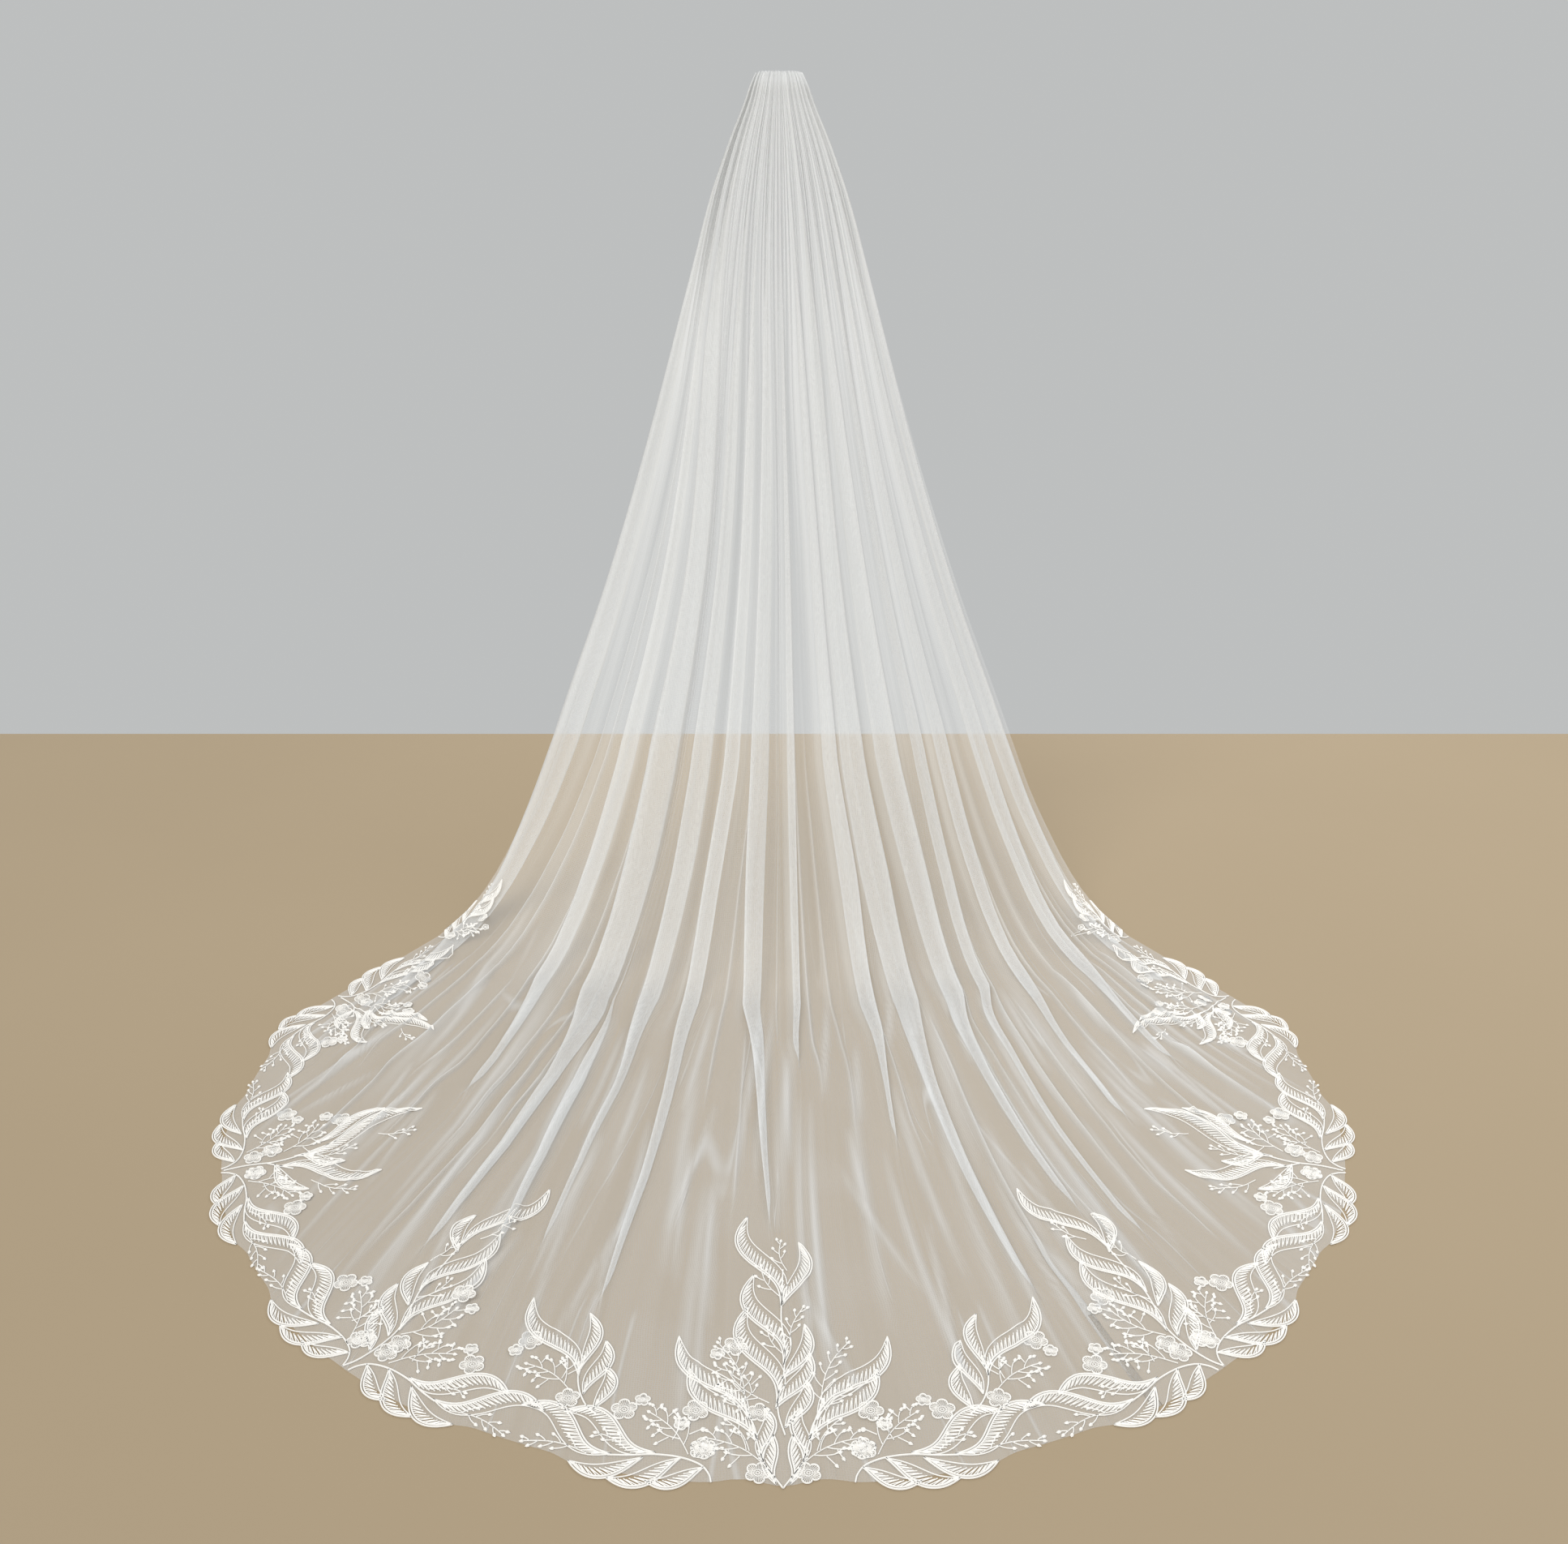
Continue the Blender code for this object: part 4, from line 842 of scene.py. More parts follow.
        (0.50, 1.48, 0.46, 1.84, 0.006, 0.005), (0.64, 1.56, 0.67, 1.82, 0.006, 0.004),
        (0.73, 1.44, 0.70, 1.72, 0.006, 0.004), (0.83, 1.60, 0.88, 1.82, 0.006, 0.004),
    ],
    "rippleShine": 0.9,
    "rippleBlunt": 0.8,            # below 1 they keep their height nearly to their ends
    "rippleSharp": 0.012,          # ripples up to this wide hide the full amount more
    # The many small gathers that fan out from the stitching, unevenly long and deep. Widths are
    # shares of the cut cloth's.
    "gathers": {"count": 120, "heights": (0.0014, 0.0042), "widths": (0.0022, 0.0046), "stray": 0.35,
                "short": 0.16, "long": 0.98, "mostlyShort": 1.3, "atComb": 0.22, "growOver": 0.16,
                "fadeOver": 0.24, "shine": 0.55, "shineOver": 0.3, "seed": 7},
    # The low ridges that fan out across the train: first and last place, stations, sizes.
    "fanLines": {"count": 70, "heights": (0.0018, 0.0036), "widths": (0.0045, 0.007), "edge": 0.97,
                 "stray": (0.1, 0.9), "starts": (0.95, 1.55), "lengths": (0.18, 0.65), "last": 1.97,
                 "drawnIn": (0.95, 1.0), "sway": 0.015, "shine": 1.1, "seed": 21},
    "slantShine": 0.8,             # cloth seen edge on hides more
    "mostLean": 0.96,              # but no steeper than this
    "leastFold": 0.006,            # narrower ones don't count as lying three deep
    "spreadFrom": 0.85,            # the gathered cloth spreads out single from here
    "spreadOver": 0.2,
    "pleatsOnFloor": 0.30,         # how strongly the small pleats still show on the train
    "pleatsFrom": 0.25,            # the station where they start to fade
    "pleatsOver": 0.9,
    "creasedFrom": 0.86,           # and where the train's fine creases come in
    "creasedOver": 0.34,
    "rowReads": 901,               # points at which each row's curve is measured
    "columnWidth": 0.0052,         # of the mesh on the train, as measured at this station
    "columnStation": 1.22,
    "columns": {"end": 1, "plain": 2, "crease": (2, 1, 2, 2, 2, 1), "fold": (2, 2, 2, 2, 3, 2, 2, 3, 2)},
}
foldCount = len(tulle["folds"])
foldStations = np.array(tulle["stations"])


def foldPlace(fold, index, station):
    even = -1.0 + 2.0 * (index + 0.5) / foldCount
    if station <= foldStations[0]:
        return even + (fold[0][0] - even) * ease(station / tulle["settled"])
    return smoothRead(min(station, foldStations[-1]), foldStations, np.array(fold[0]))


def foldWidth(fold, station, rowLength, kneeLength):
    hanging, train, end = fold[1], fold[2], fold[4]
    width = hanging * min(1.0, rowLength / kneeLength)
    narrowed = ease((station - tulle["narrowFrom"]) / (tulle["narrowTo"] - tulle["narrowFrom"]))
    width = train + (width - train) * (1.0 - narrowed)
    pinch = np.clip((station - tulle["narrowTo"]) / max(0.05, end - tulle["narrowTo"]), 0.0, 1.0)
    return width + (min(width, tulle["tailWidth"]) - width) * pinch


def drawnOut(distance, total, station):
    # where a point of the cloth comes to lie once the cloth is drawn out near the floor
    place = 2.0 * distance / total - 1.0
    side = 0.5 + 0.5 * np.clip(place / tulle["drawnOver"], -1.0, 1.0)
    most = tulle["drawnLeft"] + (tulle["drawnRight"] - tulle["drawnLeft"]) * side
    most = most * np.interp(station, tulle["drawnAt"], tulle["drawnShare"])
    return 0.5 * total * (1.0 + place * (1.0 + most * (1.0 - np.abs(place) ** 3)))


def gatherHeight(station):
    return min(tulle["gatherHeight"], tulle["gatherAtComb"] + tulle["gatherGrowth"] * station)


def foldShape(station, width, laid, alive, foot, half):
    # foot, climb, crest, under the nose, root: a standing gather that is turned over as it falls
    hung = 1.0 - ease((station - tulle["settleFrom"]) / (1.0 - tulle["settleFrom"]))
    depth = min(tulle["crestMost"], max(tulle["crestLeast"], tulle["crestShare"] * width))
    depth = tulle["crestOnFloor"] + hung * (depth - tulle["crestOnFloor"])
    depth = min(depth, tulle["steepest"] * width + 0.001)
    nose = tulle["nose"] * depth
    near = min(tulle["near"], tulle["nearShare"] * width)
    climb, crest = np.array(tulle["climb"]) * (-foot, depth), np.array(tulle["crest"]) * (width, depth)
    lying = np.array([(-foot, 0.0), climb, crest, (width - near, depth), (width, depth - 0.5 * nose),
                      (width - near, depth - nose), (near, nose), (0.0, 0.5 * nose), (near, 0.0)])
    upright = 1.0 - ease(station / tulle["turnOver"])
    height = gatherHeight(station) * alive * (1.0 - (1.0 - upright) * (1.0 - laid))
    standing = np.array(tulle["gatherShape"]) * (half, height)
    standing[:, 0] += 0.5 * width * laid
    shine = tulle["edgeShine"] * laid * np.array(tulle["edges"])
    return np.column_stack([standing + (lying - standing) * laid, shine])


def rowControls(station, rowLength, kneeLength):
    # the row's section as control points (along, out, shine), the same number in every row
    folds = tulle["folds"]
    centres = np.array([foldPlace(fold, k, station) for k, fold in enumerate(folds)])
    centres = 0.5 * (centres + 1.0) * rowLength
    spacing = np.diff(np.concatenate([[-centres[0]], centres, [2 * rowLength - centres[-1]]]))
    upright = 1.0 - ease(station / tulle["turnOver"])
    alive = [1.0 - ease((station - fold[4] + tulle["fade"]) / tulle["fade"]) for fold in folds]
    laid = np.array([ease((station - fold[3] + tulle["turnOver"]) / tulle["turnOver"]) * alive[k]
                     for k, fold in enumerate(folds)])
    half = np.minimum(spacing[:-1], spacing[1:])
    half = half * (tulle["flatSpan"] + (tulle["gatherSpan"] - tulle["flatSpan"]) * upright)
    widths = np.array([foldWidth(fold, station, rowLength, kneeLength) for fold in folds])
    reach = 0.5 * widths * laid + half * (1.0 - laid)
    for k in range(foldCount - 1):
        excess = min(reach[k] * laid[k] + reach[k + 1] * laid[k + 1],
                     reach[k] + reach[k + 1] + tulle["stripGap"] - spacing[k + 1])
        if excess > 0.0:
            share = laid[k] * reach[k] / (laid[k] * reach[k] + laid[k + 1] * reach[k + 1])
            widths[k] *= 1.0 - excess * share / reach[k]
            widths[k + 1] *= 1.0 - excess * (1.0 - share) / reach[k + 1]
    reach = 0.5 * widths * laid + half * (1.0 - laid)
    shapes = []
    for k, fold in enumerate(folds):
        lean = fold[5]
        other = k - lean
        gap = spacing[k if lean > 0 else k + 1] - reach[k]
        if 0 <= other < foldCount:
            gap = gap - reach[other]
            if folds[other][5] != lean:
                gap = 0.5 * gap
        foot = min(tulle["footShare"] * widths[k] + tulle["footMore"], gap - tulle["footClear"])
        shape = foldShape(station, widths[k], laid[k], alive[k], foot, half[k])
        shape[:, 0] = centres[k] + lean * (shape[:, 0] - 0.5 * widths[k] * laid[k])
        shapes.append(shape[::lean])
    controls = [(0.0, 0.0, 0.0)]
    low = 0.0
    for gap in range(foldCount + 1):
        high = shapes[gap][0, 0] if gap < foldCount else rowLength
        between = gatherHeight(station) * upright if 0 < gap < foldCount else 0.0
        edge = low
        for crease in tulle["creases"]:
            if crease[0] != gap:
                continue
            top, end, start, stop, height, width, shine = crease[1:]
            run = np.clip((station - start) / (stop - start), 0.0, 1.0)
            place = low + (high - low) * (top + (end - top) * run)
            fade = tulle["creaseFade"]
            shown = ease((station - start) / fade) * ease((stop - station) / fade)
            widest = min(0.5 * width, tulle["creaseRoom"] * (high - low))
            tall = min(height * shown, tulle["creaseSteep"] * widest)
            controls.append((0.5 * (edge + place - widest), between, 0.0))
            for step, share in tulle["creaseShape"]:
                controls.append((place + step * widest, share * tall, shown * shine * share ** 2))
            edge = place + widest
        controls.append((0.5 * (edge + high), between, 0.0))
        if gap < foldCount:
            controls.extend(tuple(p) for p in shapes[gap])
            low = shapes[gap][-1, 0]
    controls.append((rowLength, 0.0, 0.0))
    return np.array(controls)


def controlSamples(controls):
    # how many columns of the mesh each control point gets, the least by kind and more where wide
    columns = tulle["columns"]
    least = [columns["end"]]
    for gap in range(foldCount + 1):
        for crease in tulle["creases"]:
            if crease[0] == gap:
                least += columns["crease"]
        least.append(columns["plain"])
        if gap < foldCount:
            least += columns["fold"][::tulle["folds"][gap][5]]
    least.append(columns["end"])
    steps = np.linalg.norm(np.diff(controls[:, :2], axis=0), axis=1)
    spans = 0.5 * (np.concatenate([[0.0], steps]) + np.concatenate([steps, [0.0]]))
    return [max(low, int(math.ceil(span / tulle["columnWidth"]))) for low, span in zip(least, spans)]


def rounded(controls, counts):
    # smooth curve that is drawn towards each control point without passing it
    padded = np.vstack([controls[:1], controls, controls[-1:]])
    points = []
    for k, count in enumerate(counts):
        before, here, after = padded[k], padded[k + 1], padded[k + 2]
        t = (np.arange(count) / count)[:, None]
        start, end = 0.5 * (before + here), 0.5 * (here + after)
        points.append((1 - t) ** 2 * start + 2 * t * (1 - t) * here + t * t * end)
    points.append(controls[-1:])
    return np.vstack(points)


def tulleRows():
    # station, and curve across the cloth, of each row of the mesh
    runs = np.concatenate([
        np.linspace(0.0, fall["topRun"], fall["rowsAtTop"], endpoint=False),
        np.linspace(fall["topRun"], fall["upperRun"], fall["rowsUpper"], endpoint=False),
        np.linspace(fall["upperRun"], sectionRun[-1], fall["rowsHanging"]),
    ])
    rows = []
    for run in runs:
        section = smoothRead(run, sectionRun, sections)
        station = max(0.0, 1.0 - section[0] / fall["combHeight"])
        rows.append((station, lambda place, s=section: acrossSection(place, s)))
    for fraction in np.linspace(0.0, 1.0, fall["rowsOnFloor"] + 1)[1:]:
        rows.append((1.0 + fraction, lambda place, f=fraction: onFloor(place, f, hemTrim)))
    return rows


def gatherLines():
    # place across the cut cloth, width, height and the station where each gather dies out
    g = tulle["gathers"]
    rng = np.random.default_rng(g["seed"])
    count = g["count"]
    at = (np.arange(count) + 0.5 + rng.uniform(-g["stray"], g["stray"], count)) / count
    return [(at[k], rng.uniform(*g["widths"]), rng.uniform(*g["heights"]),
             g["short"] + (g["long"] - g["short"]) * rng.uniform() ** g["mostlyShort"]) for k in range(count)]


def fanLines():
    # place and station at each end, width and height of the low ridges across the train
    f = tulle["fanLines"]
    rng = np.random.default_rng(f["seed"])
    lines = []
    for k in range(f["count"]):
        place = f["edge"] * (2.0 * (k + rng.uniform(*f["stray"])) / f["count"] - 1.0)
        start = rng.uniform(*f["starts"])
        end = min(start + rng.uniform(*f["lengths"]), f["last"])
        placeAtEnd = place * rng.uniform(*f["drawnIn"]) + rng.uniform(-f["sway"], f["sway"])
        lines.append((place, start, placeAtEnd, end, rng.uniform(*f["widths"]), rng.uniform(*f["heights"])))
    return lines


def addGathers(section, station, clothPlace, gathers):
    g = tulle["gathers"]
    for at, width, height, end in gathers:
        begun = g["atComb"] + (1.0 - g["atComb"]) * ease(station / g["growOver"])
        strength = begun * (1.0 - ease((station - end) / g["fadeOver"]))
        if strength > 0.0:
            bell = strength * np.exp(-((clothPlace - at) / width) ** 2)
            section[:, 1] += height * bell
            section[:, 2] += g["shine"] * bell * ease(station / g["shineOver"])


def addRipples(section, station, total, lines, shine):
    for p0, s0, p1, s1, width, height in lines:
        if s0 < station < s1:
            run = (station - s0) / (s1 - s0)
            centre = 0.5 * (p0 + (p1 - p0) * run + 1.0) * total
            bell = np.exp(-((section[:, 0] - centre) / width) ** 2)
            bell *= math.sin(math.pi * run) ** tulle["rippleBlunt"]
            section[:, 1] += height * bell
            section[:, 2] += shine * bell * min(1.0, tulle["rippleSharp"] / width)


def foldCovered(section, steps):
    # where the cloth lies three deep
    covered = np.zeros(len(section))
    back = np.concatenate([[False], steps[:, 0] < 0.0])
    starts = np.flatnonzero(back & ~np.concatenate([[False], back[:-1]]))
    for start in starts:
        stop = start
        while stop + 1 < len(back) and back[stop + 1]:
            stop += 1
        low, high = section[stop, 0], section[start - 1, 0]
        if high - low > tulle["leastFold"]:
            covered[(section[:, 0] > low) & (section[:, 0] < high)] = 1.0
    return covered


def layersDeep(section, steps, station):
    # the cut cloth gathered to the row's length, slopes seen edge on, and what edges and ridges add
    step = np.linalg.norm(steps, axis=1)
    cutWidth = tulle["gatheredEdge"] + (tulle["flat"][0] - tulle["gatheredEdge"]) * min(station, 1.0)
    spread = ease((station - tulle["spreadFrom"]) / tulle["spreadOver"])
    density = 1.0 + (max(1.0, cutWidth / step.sum()) - 1.0) * (1.0 - spread)
    lean = np.minimum(np.abs(steps[:, 1]) / np.maximum(step, 1e-9), tulle["mostLean"])
    slant = np.sqrt(1.0 - lean ** 2)
    slant = np.concatenate([slant[:1], 0.5 * (slant[1:] + slant[:-1]), slant[-1:]])
    return density / slant ** tulle["slantShine"] + section[:, 2]


def buildTulle(material):
    rows = tulleRows()
    dense = np.linspace(-1.0, 1.0, tulle["rowReads"])
    curves = [curve(dense) for _, curve in rows]
    stations = np.array([station for station, _ in rows])
    lengths = [runAlong(curve) for curve in curves]
    kneeLength = lengths[int(np.argmin(np.abs(stations - tulle["knee"])))][-1]
    widest = int(np.argmin(np.abs(stations - tulle["columnStation"])))
    counts = controlSamples(rowControls(stations[widest], lengths[widest][-1], kneeLength))
    gathers, fans = gatherLines(), fanLines()
    clothPlace = None
    grid, flat = [], []
    numbers = {"layers": [], "layered": [], "pleated": [], "creased": []}
    for k, station in enumerate(stations):
        down = curves[min(k + 1, len(rows) - 1)] - curves[max(k - 1, 0)]
        across = unit(np.gradient(curves[k], axis=0))
        out = np.tile([0.0, 0.0, 1.0], (len(dense), 1)) if station >= 1.0 else unit(np.cross(down, across))
        total = lengths[k][-1]
        section = rounded(rowControls(station, total, kneeLength), counts)
        if clothPlace is None:
            clothPlace = section[:, 0] / total
        addGathers(section, station, clothPlace, gathers)
        addRipples(section, station, total, tulle["ripples"], tulle["rippleShine"])
        addRipples(section, station, total, fans, tulle["fanLines"]["shine"])
        inside = np.clip(section[:, 0], 0.0, total)
        place = drawnOut(inside, total, station)
        base, side, up = [readLine(place, lengths[k], line) for line in (curves[k], across, out)]
        grid.append(base + side * (section[:, 0] - inside)[:, None] + up * section[:, 1:2])
        run = runAlong(section[:, :2])
        flat.append(run - 0.5 * run[-1])
        steps = np.diff(section[:, :2], axis=0)
        hanging = 1.0 - ease((station - tulle["pleatsFrom"]) / tulle["pleatsOver"])
        pleated = tulle["pleatsOnFloor"] + (1.0 - tulle["pleatsOnFloor"]) * hanging
        creased = ease((station - tulle["creasedFrom"]) / tulle["creasedOver"])
        numbers["layers"].append(layersDeep(section, steps, station))
        numbers["layered"].append(foldCovered(section, steps))
        numbers["pleated"].append(np.full(len(section), pleated))
        numbers["creased"].append(np.full(len(section), creased))
    grid = np.array(grid)
    rowCount, columnCount = grid.shape[:2]
    down = np.repeat(runAlong(grid[:, columnCount // 2])[:, None], columnCount, axis=1)
    index = np.arange(rowCount * columnCount).reshape(rowCount, columnCount)
    faces = np.stack([index[:-1, :-1], index[1:, :-1], index[1:, 1:], index[:-1, 1:]], axis=-1).reshape(-1, 4)
    mesh = newMesh("veil_tulle", grid.reshape(-1, 3), faces.tolist())
    piece = onVeil("veil_tulle", mesh, material, ["tulle_panel"])
    for name, values in numbers.items():
        mesh.attributes.new(name, "FLOAT", "POINT").data.foreach_set("value", np.array(values).ravel())
    cut = np.tile(clothPlace * tulle["flat"][0], (rowCount, 1))
    for name, sideways in (("flatPlace", np.array(flat)), ("cutPlace", cut)):
        place = np.stack([sideways, down, np.zeros_like(down)], axis=-1)
        mesh.attributes.new(name, "FLOAT_VECTOR", "POINT").data.foreach_set("vector", place.ravel())
    print("tulle grid:", rowCount, "rows of", columnCount, "columns")
    return piece


veilTulle = buildTulle(softTulle())
print("tulle built:", len(veilTulle.data.polygons), "faces")


# the lace is laid on the tulle as it lies, cord by cord
tulleTree = BVHTree.FromPolygons([v.co for v in veilTulle.data.vertices],
                                 [p.vertices for p in veilTulle.data.polygons])


def settled(points, place):
    # points moved onto the top of the tulle, and the direction out of it at each
    ups = np.tile([0.0, 0.0, 1.0], (len(points), 1))
    if place[5] and place[0] + lace["armReach"] > landingRun:
        for k, point in enumerate(points):
            hit = tulleTree.find_nearest(Vector(point), lace["findWithin"])
            if hit[0] is not None:
                normal = np.array(hit[1])
                backwards = normal[2] < 0.0 or (abs(normal[2]) < lace["upright"] and normal[1] > 0.0)
                ups[k] = -normal if backwards else normal
        if len(ups) >= lace["upWindow"]:
            ups = evened(ups, np.ones(lace["upWindow"]))
        ups = unit(ups)
    found = points.copy()
    for k, (point, up) in enumerate(zip(points, ups)):
        hit = tulleTree.ray_cast(Vector(point + up * lace["castFrom"]), Vector(-up), 2 * lace["castFrom"])
        if hit[0] is not None:
            found[k] = hit[0]
    return found, ups


def addCord(mesh, points, ups, width, height, profile):
    # a raised cord along points of the cloth: a low arch with a flat underside
    side = unit(np.cross(ups, np.gradient(points, axis=0)))
    offset, count, ring = mesh["size"], len(points), len(profile)
    for along, rise in profile:
        mesh["points"].append(points + side * along * width + ups * (lace["lift"] + rise * height))
    mesh["size"] += ring * count
    k = np.arange(count - 1)
    for a in range(ring):
        here, beside = offset + a * count + k, offset + (a + 1) % ring * count + k
        mesh["quads"].append(np.column_stack([here + 1, beside + 1, beside, here]))
    first = [offset + a * count for a in range(ring)]
    mesh["caps"] += [first, [a + count - 1 for a in first][::-1]]


def clothAxes(points, ups):
    # along and across directions of the cloth at a place given by three points: middle, x, y
    x = points[1] - points[0]
    x /= np.linalg.norm(x)
    y = np.cross(ups[0], x)
    y *= math.copysign(1.0, y @ (points[2] - points[0]))
    return points[0], x, y / np.linalg.norm(y), ups[0]


def addBud(mesh, axes, heading):
    # a padded satin bud, pointed at its tip
    middle, x, y, up = axes
    turn = np.array([[math.cos(heading), math.sin(heading)], [-math.sin(heading), math.cos(heading)]])
    flat = np.array(lace["bud"]) @ turn * lace["budLength"]
    if np.cross(x, y) @ up < 0.0:
        flat = flat[::-1]
    outline = flat[:, :1] * x + flat[:, 1:] * y
    low = middle + outline + up * lace["lift"]
    high = middle + lace["budTop"] * outline + up * (lace["lift"] + lace["budHeight"])
    offset, around = mesh["size"], len(flat)
    mesh["points"] += [high, low]
    mesh["size"] += 2 * around
    k = np.arange(around)
    beside = (k + 1) % around
    mesh["quads"].append(offset + np.column_stack([k, around + k, around + beside, beside]))
    mesh["caps"] += [(offset + k).tolist(), (offset + around + k)[::-1].tolist()]


def addFlower(mesh, axes, radius, heading):
    # petals of satin stitch in a corded outline, round an open centre
    middle, x, y, up = axes
    flower = lace["flower"]
    fullTurn = 2 * math.pi

    def rimAt(turn):
        petal = np.abs(np.cos(0.5 * flower["petals"] * (turn - heading)))
        return radius * (flower["notch"] + (1.0 - flower["notch"]) * petal ** flower["petalBlunt"])

    def cord(turns, radii, size, profile):
        points = middle + radii[:, None] * (np.cos(turns)[:, None] * x + np.sin(turns)[:, None] * y)
        addCord(mesh, points, np.tile(up, (len(points), 1)), *size, lace[profile])

    turns = heading + np.linspace(0.0, fullTurn, flower["rimPoints"])
    cord(turns, rimAt(turns), flower["rim"], "flatTop")
    for k, turn in enumerate(heading + np.linspace(0.0, fullTurn, flower["stitches"], endpoint=False)):
        ends = np.array([radius * flower["stitchFrom"][k % 2], flower["stitchTo"] * rimAt(turn)])
        cord(np.array([turn, turn]), ends, (flower["stitchWidth"] * radius, flower["stitchHeight"]), "ridge")
    for share, count in flower["rings"]:
        turns = np.linspace(0.0, fullTurn, count + 1)
        cord(turns, np.full(count + 1, share * radius), flower["ring"], "flatTop")
    for turn in heading + np.linspace(0.0, fullTurn, flower["spokes"], endpoint=False):
        cord(np.array([turn, turn]), radius * np.array(flower["spokeEnds"]), flower["spoke"], "ridge")


def buildLace(name, jobs, material):
    mesh = {"points": [], "quads": [], "caps": [], "size": 0}
    corner = lace["axisStep"] * np.array([(0.0, 0.0), (1.0, 0.0), (0.0, 1.0)])
    for paths, place, hand in jobs:
        for kind, path in paths:
            if kind in lace["cords"]:
                points, ups = settled(laidOut(path, place, hand), place)
                width, height, profile = lace["cords"][kind]
                addCord(mesh, points, ups, width, height, lace[profile])
                continue
            points = laidOut(path[0] + corner, place, hand)
            middle, ups = settled(points, place)
            axes = clothAxes(points - points[0] + middle[0], ups)
            if kind == "bud":
                addBud(mesh, axes, path[1])
            else:
                addFlower(mesh, axes, path[1] * place[3], path[2])
    points = np.vstack(mesh["points"])
    points[:, 2] = np.maximum(points[:, 2], fall["lie"] - fall["combHeight"])
    newName = name.replace("lace_", "laceWork_")
    faces = np.vstack(mesh["quads"]).tolist() + mesh["caps"]
    piece = onVeil(newName, newMesh(newName, points, faces), material, [name])
    piece.data.shade_flat()
    return piece


laceMaterial = cordedLace()
laceWork = [buildLace(name, jobs, laceMaterial) for name, jobs in laceJobs.items()]
print("lace sewn:", sum(len(p.data.polygons) for p in laceWork), "faces")


# the comb and the thread that holds the gathers to it
comb = {
    "width": 0.085,
    "teeth": 14,
    "toothWidth": 0.0024,
    "spine": 0.005,
    "thick": 0.004,
    "thread": 0.0006,
    "clear": 0.0005,               # thread stands this far off the spine
    "twin": 0.0005,                # the two loops lie this far either side of the middle
    "slope": 0.0008 / 6.3,         # and run on along the spine by this much in a radian
    "squared": 0.4,                # below 1 the loop is squarer than an ellipse
    "loopPoints": 13,
}


def tube(name, lines, radius, material):
    curve = bpy.data.curves.new(name, "CURVE")
    curve.dimensions = "3D"
    curve.bevel_depth = radius
    curve.bevel_resolution = 1
    curve.use_fill_caps = True
    for line in lines:
        spline = curve.splines.new("POLY")
        spline.points.add(len(line) - 1)
        for point, place in zip(spline.points, line):
            point.co = (*place, 1.0)
    drawn = intoScene(name, curve)
    bpy.context.view_layer.update()
    mesh = bpy.data.meshes.new_from_object(drawn.evaluated_get(bpy.context.evaluated_depsgraph_get()))
    bpy.data.objects.remove(drawn)
    mesh.materials.clear()
    return onVeil(name, mesh, material)


def combLoops():
    # two wraps of thread round the spine between each pair of teeth
    pitch = (comb["width"] - comb["toothWidth"]) / (comb["teeth"] - 1)
    angles = np.linspace(0.0, 2 * math.pi, comb["loopPoints"])
    y, z = [(size / 2 + comb["clear"]) * np.copysign(np.abs(turn) ** comb["squared"], turn)
            for size, turn in ((comb["thick"], np.cos(angles)), (comb["spine"], np.sin(angles)))]
    lines = []
    for k in range(comb["teeth"] - 1):
        middle = 0.5 * (comb["toothWidth"] - comb["width"]) + (k + 0.5) * pitch
        for shift in (-comb["twin"], comb["twin"]):
            lines.append(np.column_stack([middle + shift + comb["slope"] * angles, y, z]))
    return lines


combThread = tube("comb_thread", combLoops(), comb["thread"] / 2, sewingThread())
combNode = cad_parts["hair_comb"]
resin = clearResin()
if combNode.material_slots:
    combNode.material_slots[0].material = resin
else:
    combNode.data.materials.append(resin)
print("comb stitched")


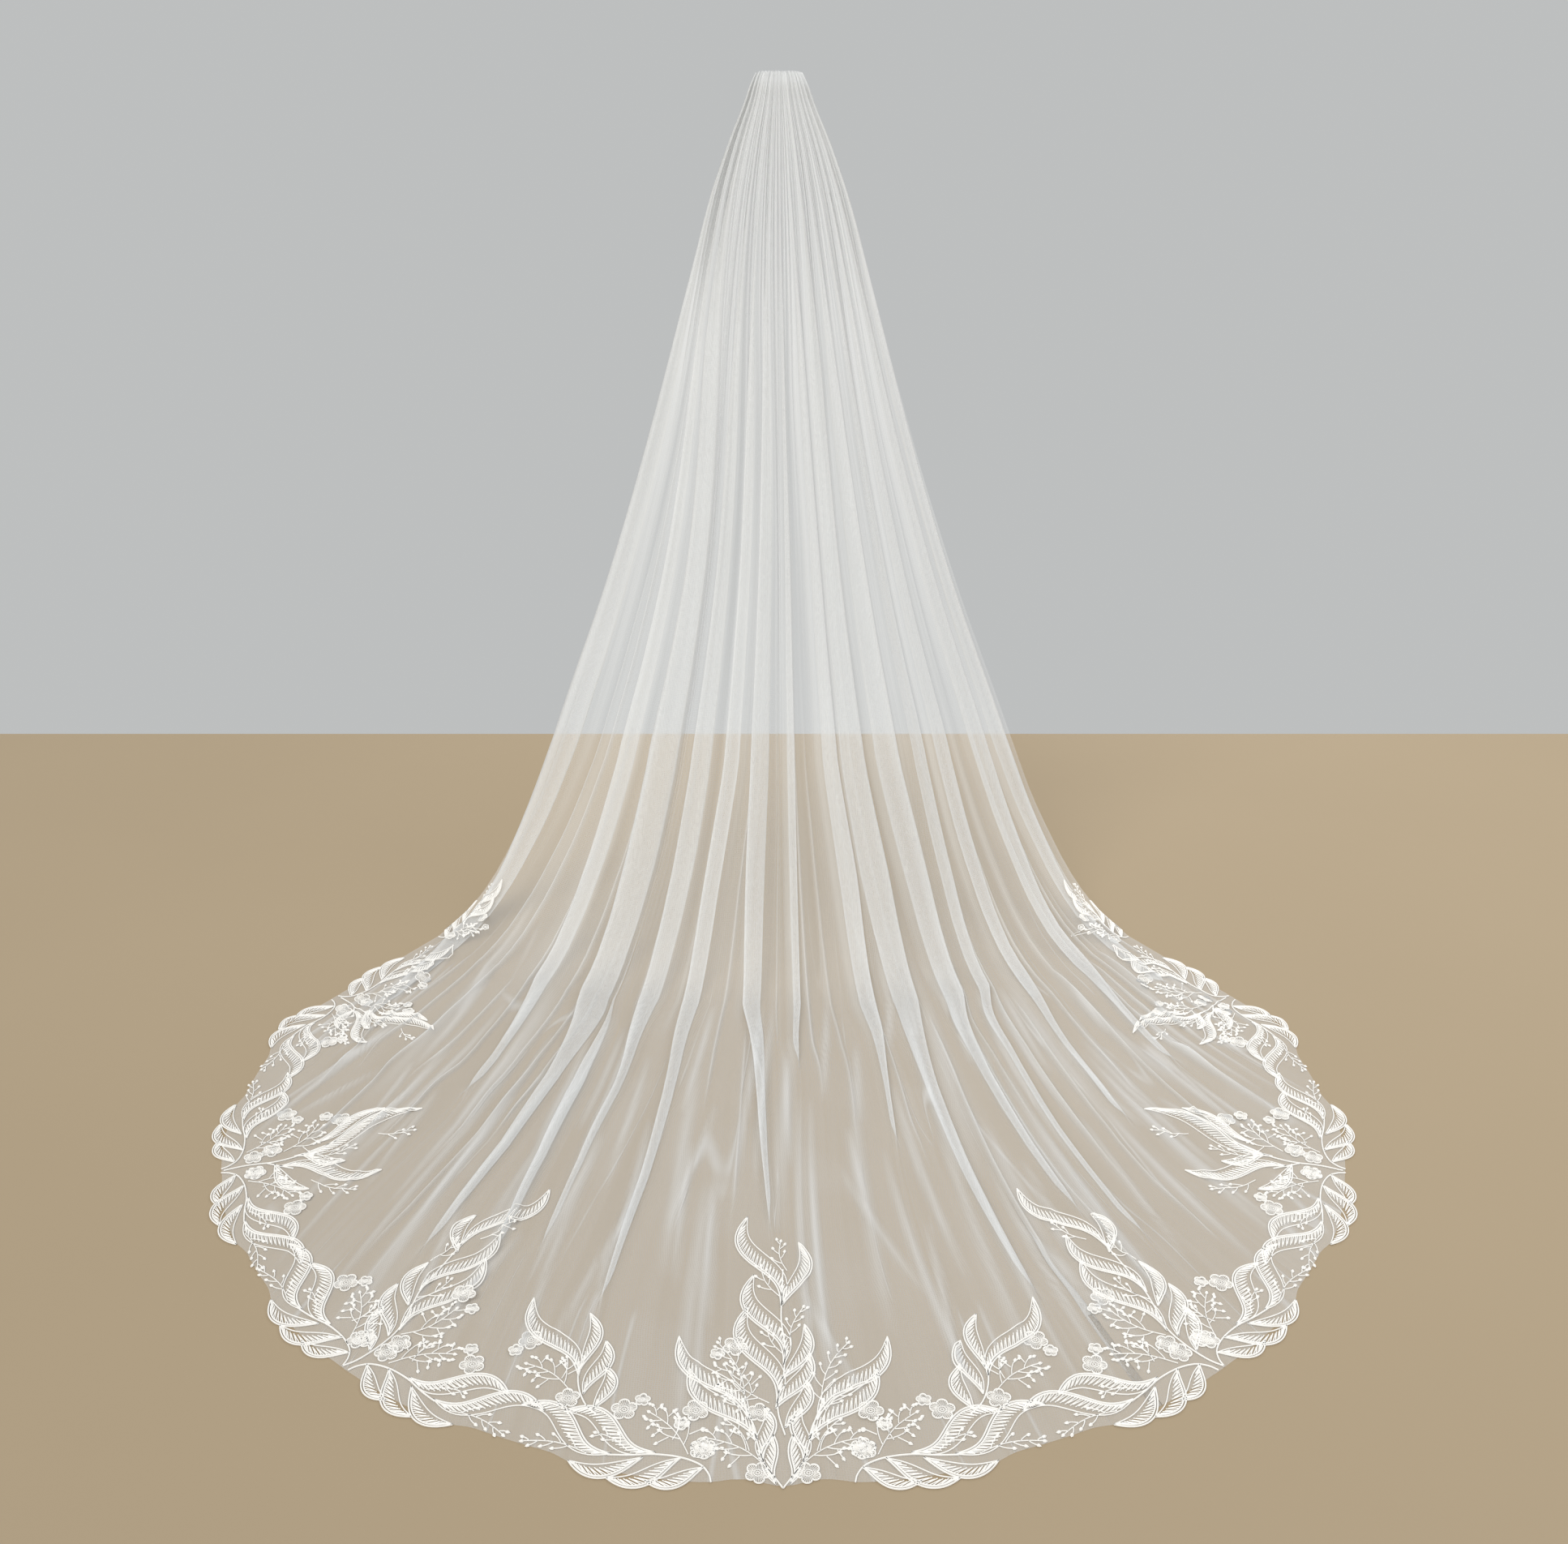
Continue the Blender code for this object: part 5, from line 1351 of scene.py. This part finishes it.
# stage, light and camera
studio = {
    "floorWide": 14.0,
    "floorNear": -9.0,             # the floor runs from here
    "floorFar": 0.40,              # to just behind the veil, where the light surround begins
    "floorGap": 0.0003,            # it lies this far under the lowest cloth
    "background": "#DEE0E0",
    "worldStrength": 0.70,
    "sunStrength": 1.95,
    "sunSpread": 55.0,             # degrees, as from a very large softbox
    "sunColour": "#FFFEFB",
    "sunFrom": (-0.45, -0.75, 1.15),
    "lampSize": 2.6,
    "lamps": {                     # where each stands and points, watts and colour
        "fill": ((3.4, -0.6, 1.4), (0.0, -0.9, -0.9), 30.0, "#F8FAFF"),
        "behind": ((0.8, 2.6, 1.0), (0.0, -0.4, -0.7), 34.0, "#FAFBFF"),
    },
    "focalPixels": 1939.0,         # focal length for an image 1934 pixels wide
    "imageWidth": 1934.0,
    "sensorMm": 36.0,
    "pitchDown": 23.74,            # degrees
    "eye": (0.010, -3.468, -0.010),
}
scene = bpy.context.scene
halfWide, level = studio["floorWide"] / 2, -fall["combHeight"] - studio["floorGap"]
corners = [(side * halfWide, studio[end], level)
           for side, end in ((-1, "floorNear"), (1, "floorNear"), (1, "floorFar"), (-1, "floorFar"))]
floor = intoScene("studio_floor", newMesh("studio_floor", corners, [(0, 1, 2, 3)]))
floor.data.materials.append(studioFloor())

scene.world = bpy.data.worlds.new("soft studio surround")
scene.world.use_nodes = True
background = scene.world.node_tree.nodes["Background"]
background.inputs["Color"].default_value = hexToLinear(studio["background"])
background.inputs["Strength"].default_value = studio["worldStrength"]


def addLamp(name, kind, power, colour, towards, axis):
    # a lamp that is turned so that its axis points the way given
    light = bpy.data.lights.new(name, kind)
    light.energy = power
    light.color = hexToLinear(colour)[:3]
    lamp = intoScene(name, light)
    lamp.rotation_euler = Vector(towards).to_track_quat(axis, "Y").to_euler()
    return lamp


sun = addLamp("key", "SUN", studio["sunStrength"], studio["sunColour"], studio["sunFrom"], "Z")
sun.data.angle = math.radians(studio["sunSpread"])
for name, (place, target, power, colour) in studio["lamps"].items():
    lamp = addLamp(name, "AREA", power, colour, Vector(target) - Vector(place), "-Z")
    lamp.data.shape = "DISK"
    lamp.data.size = studio["lampSize"]
    lamp.location = place
    lamp.visible_camera = False

lens = bpy.data.cameras.new("camera")
lens.sensor_width = studio["sensorMm"]
lens.lens = studio["sensorMm"] * studio["focalPixels"] / studio["imageWidth"]
scene.camera = intoScene("camera", lens)
scene.camera.location = studio["eye"]
scene.camera.rotation_euler = (math.radians(90.0 - studio["pitchDown"]), 0.0, 0.0)
scene.view_settings.view_transform = "Standard"
scene.cycles.transparent_max_bounces = 14              # the tulle lies many layers deep
scene.cycles.diffuse_bounces = 2
print("studio lit")

bpy.context.view_layer.update()
print("scene ready")
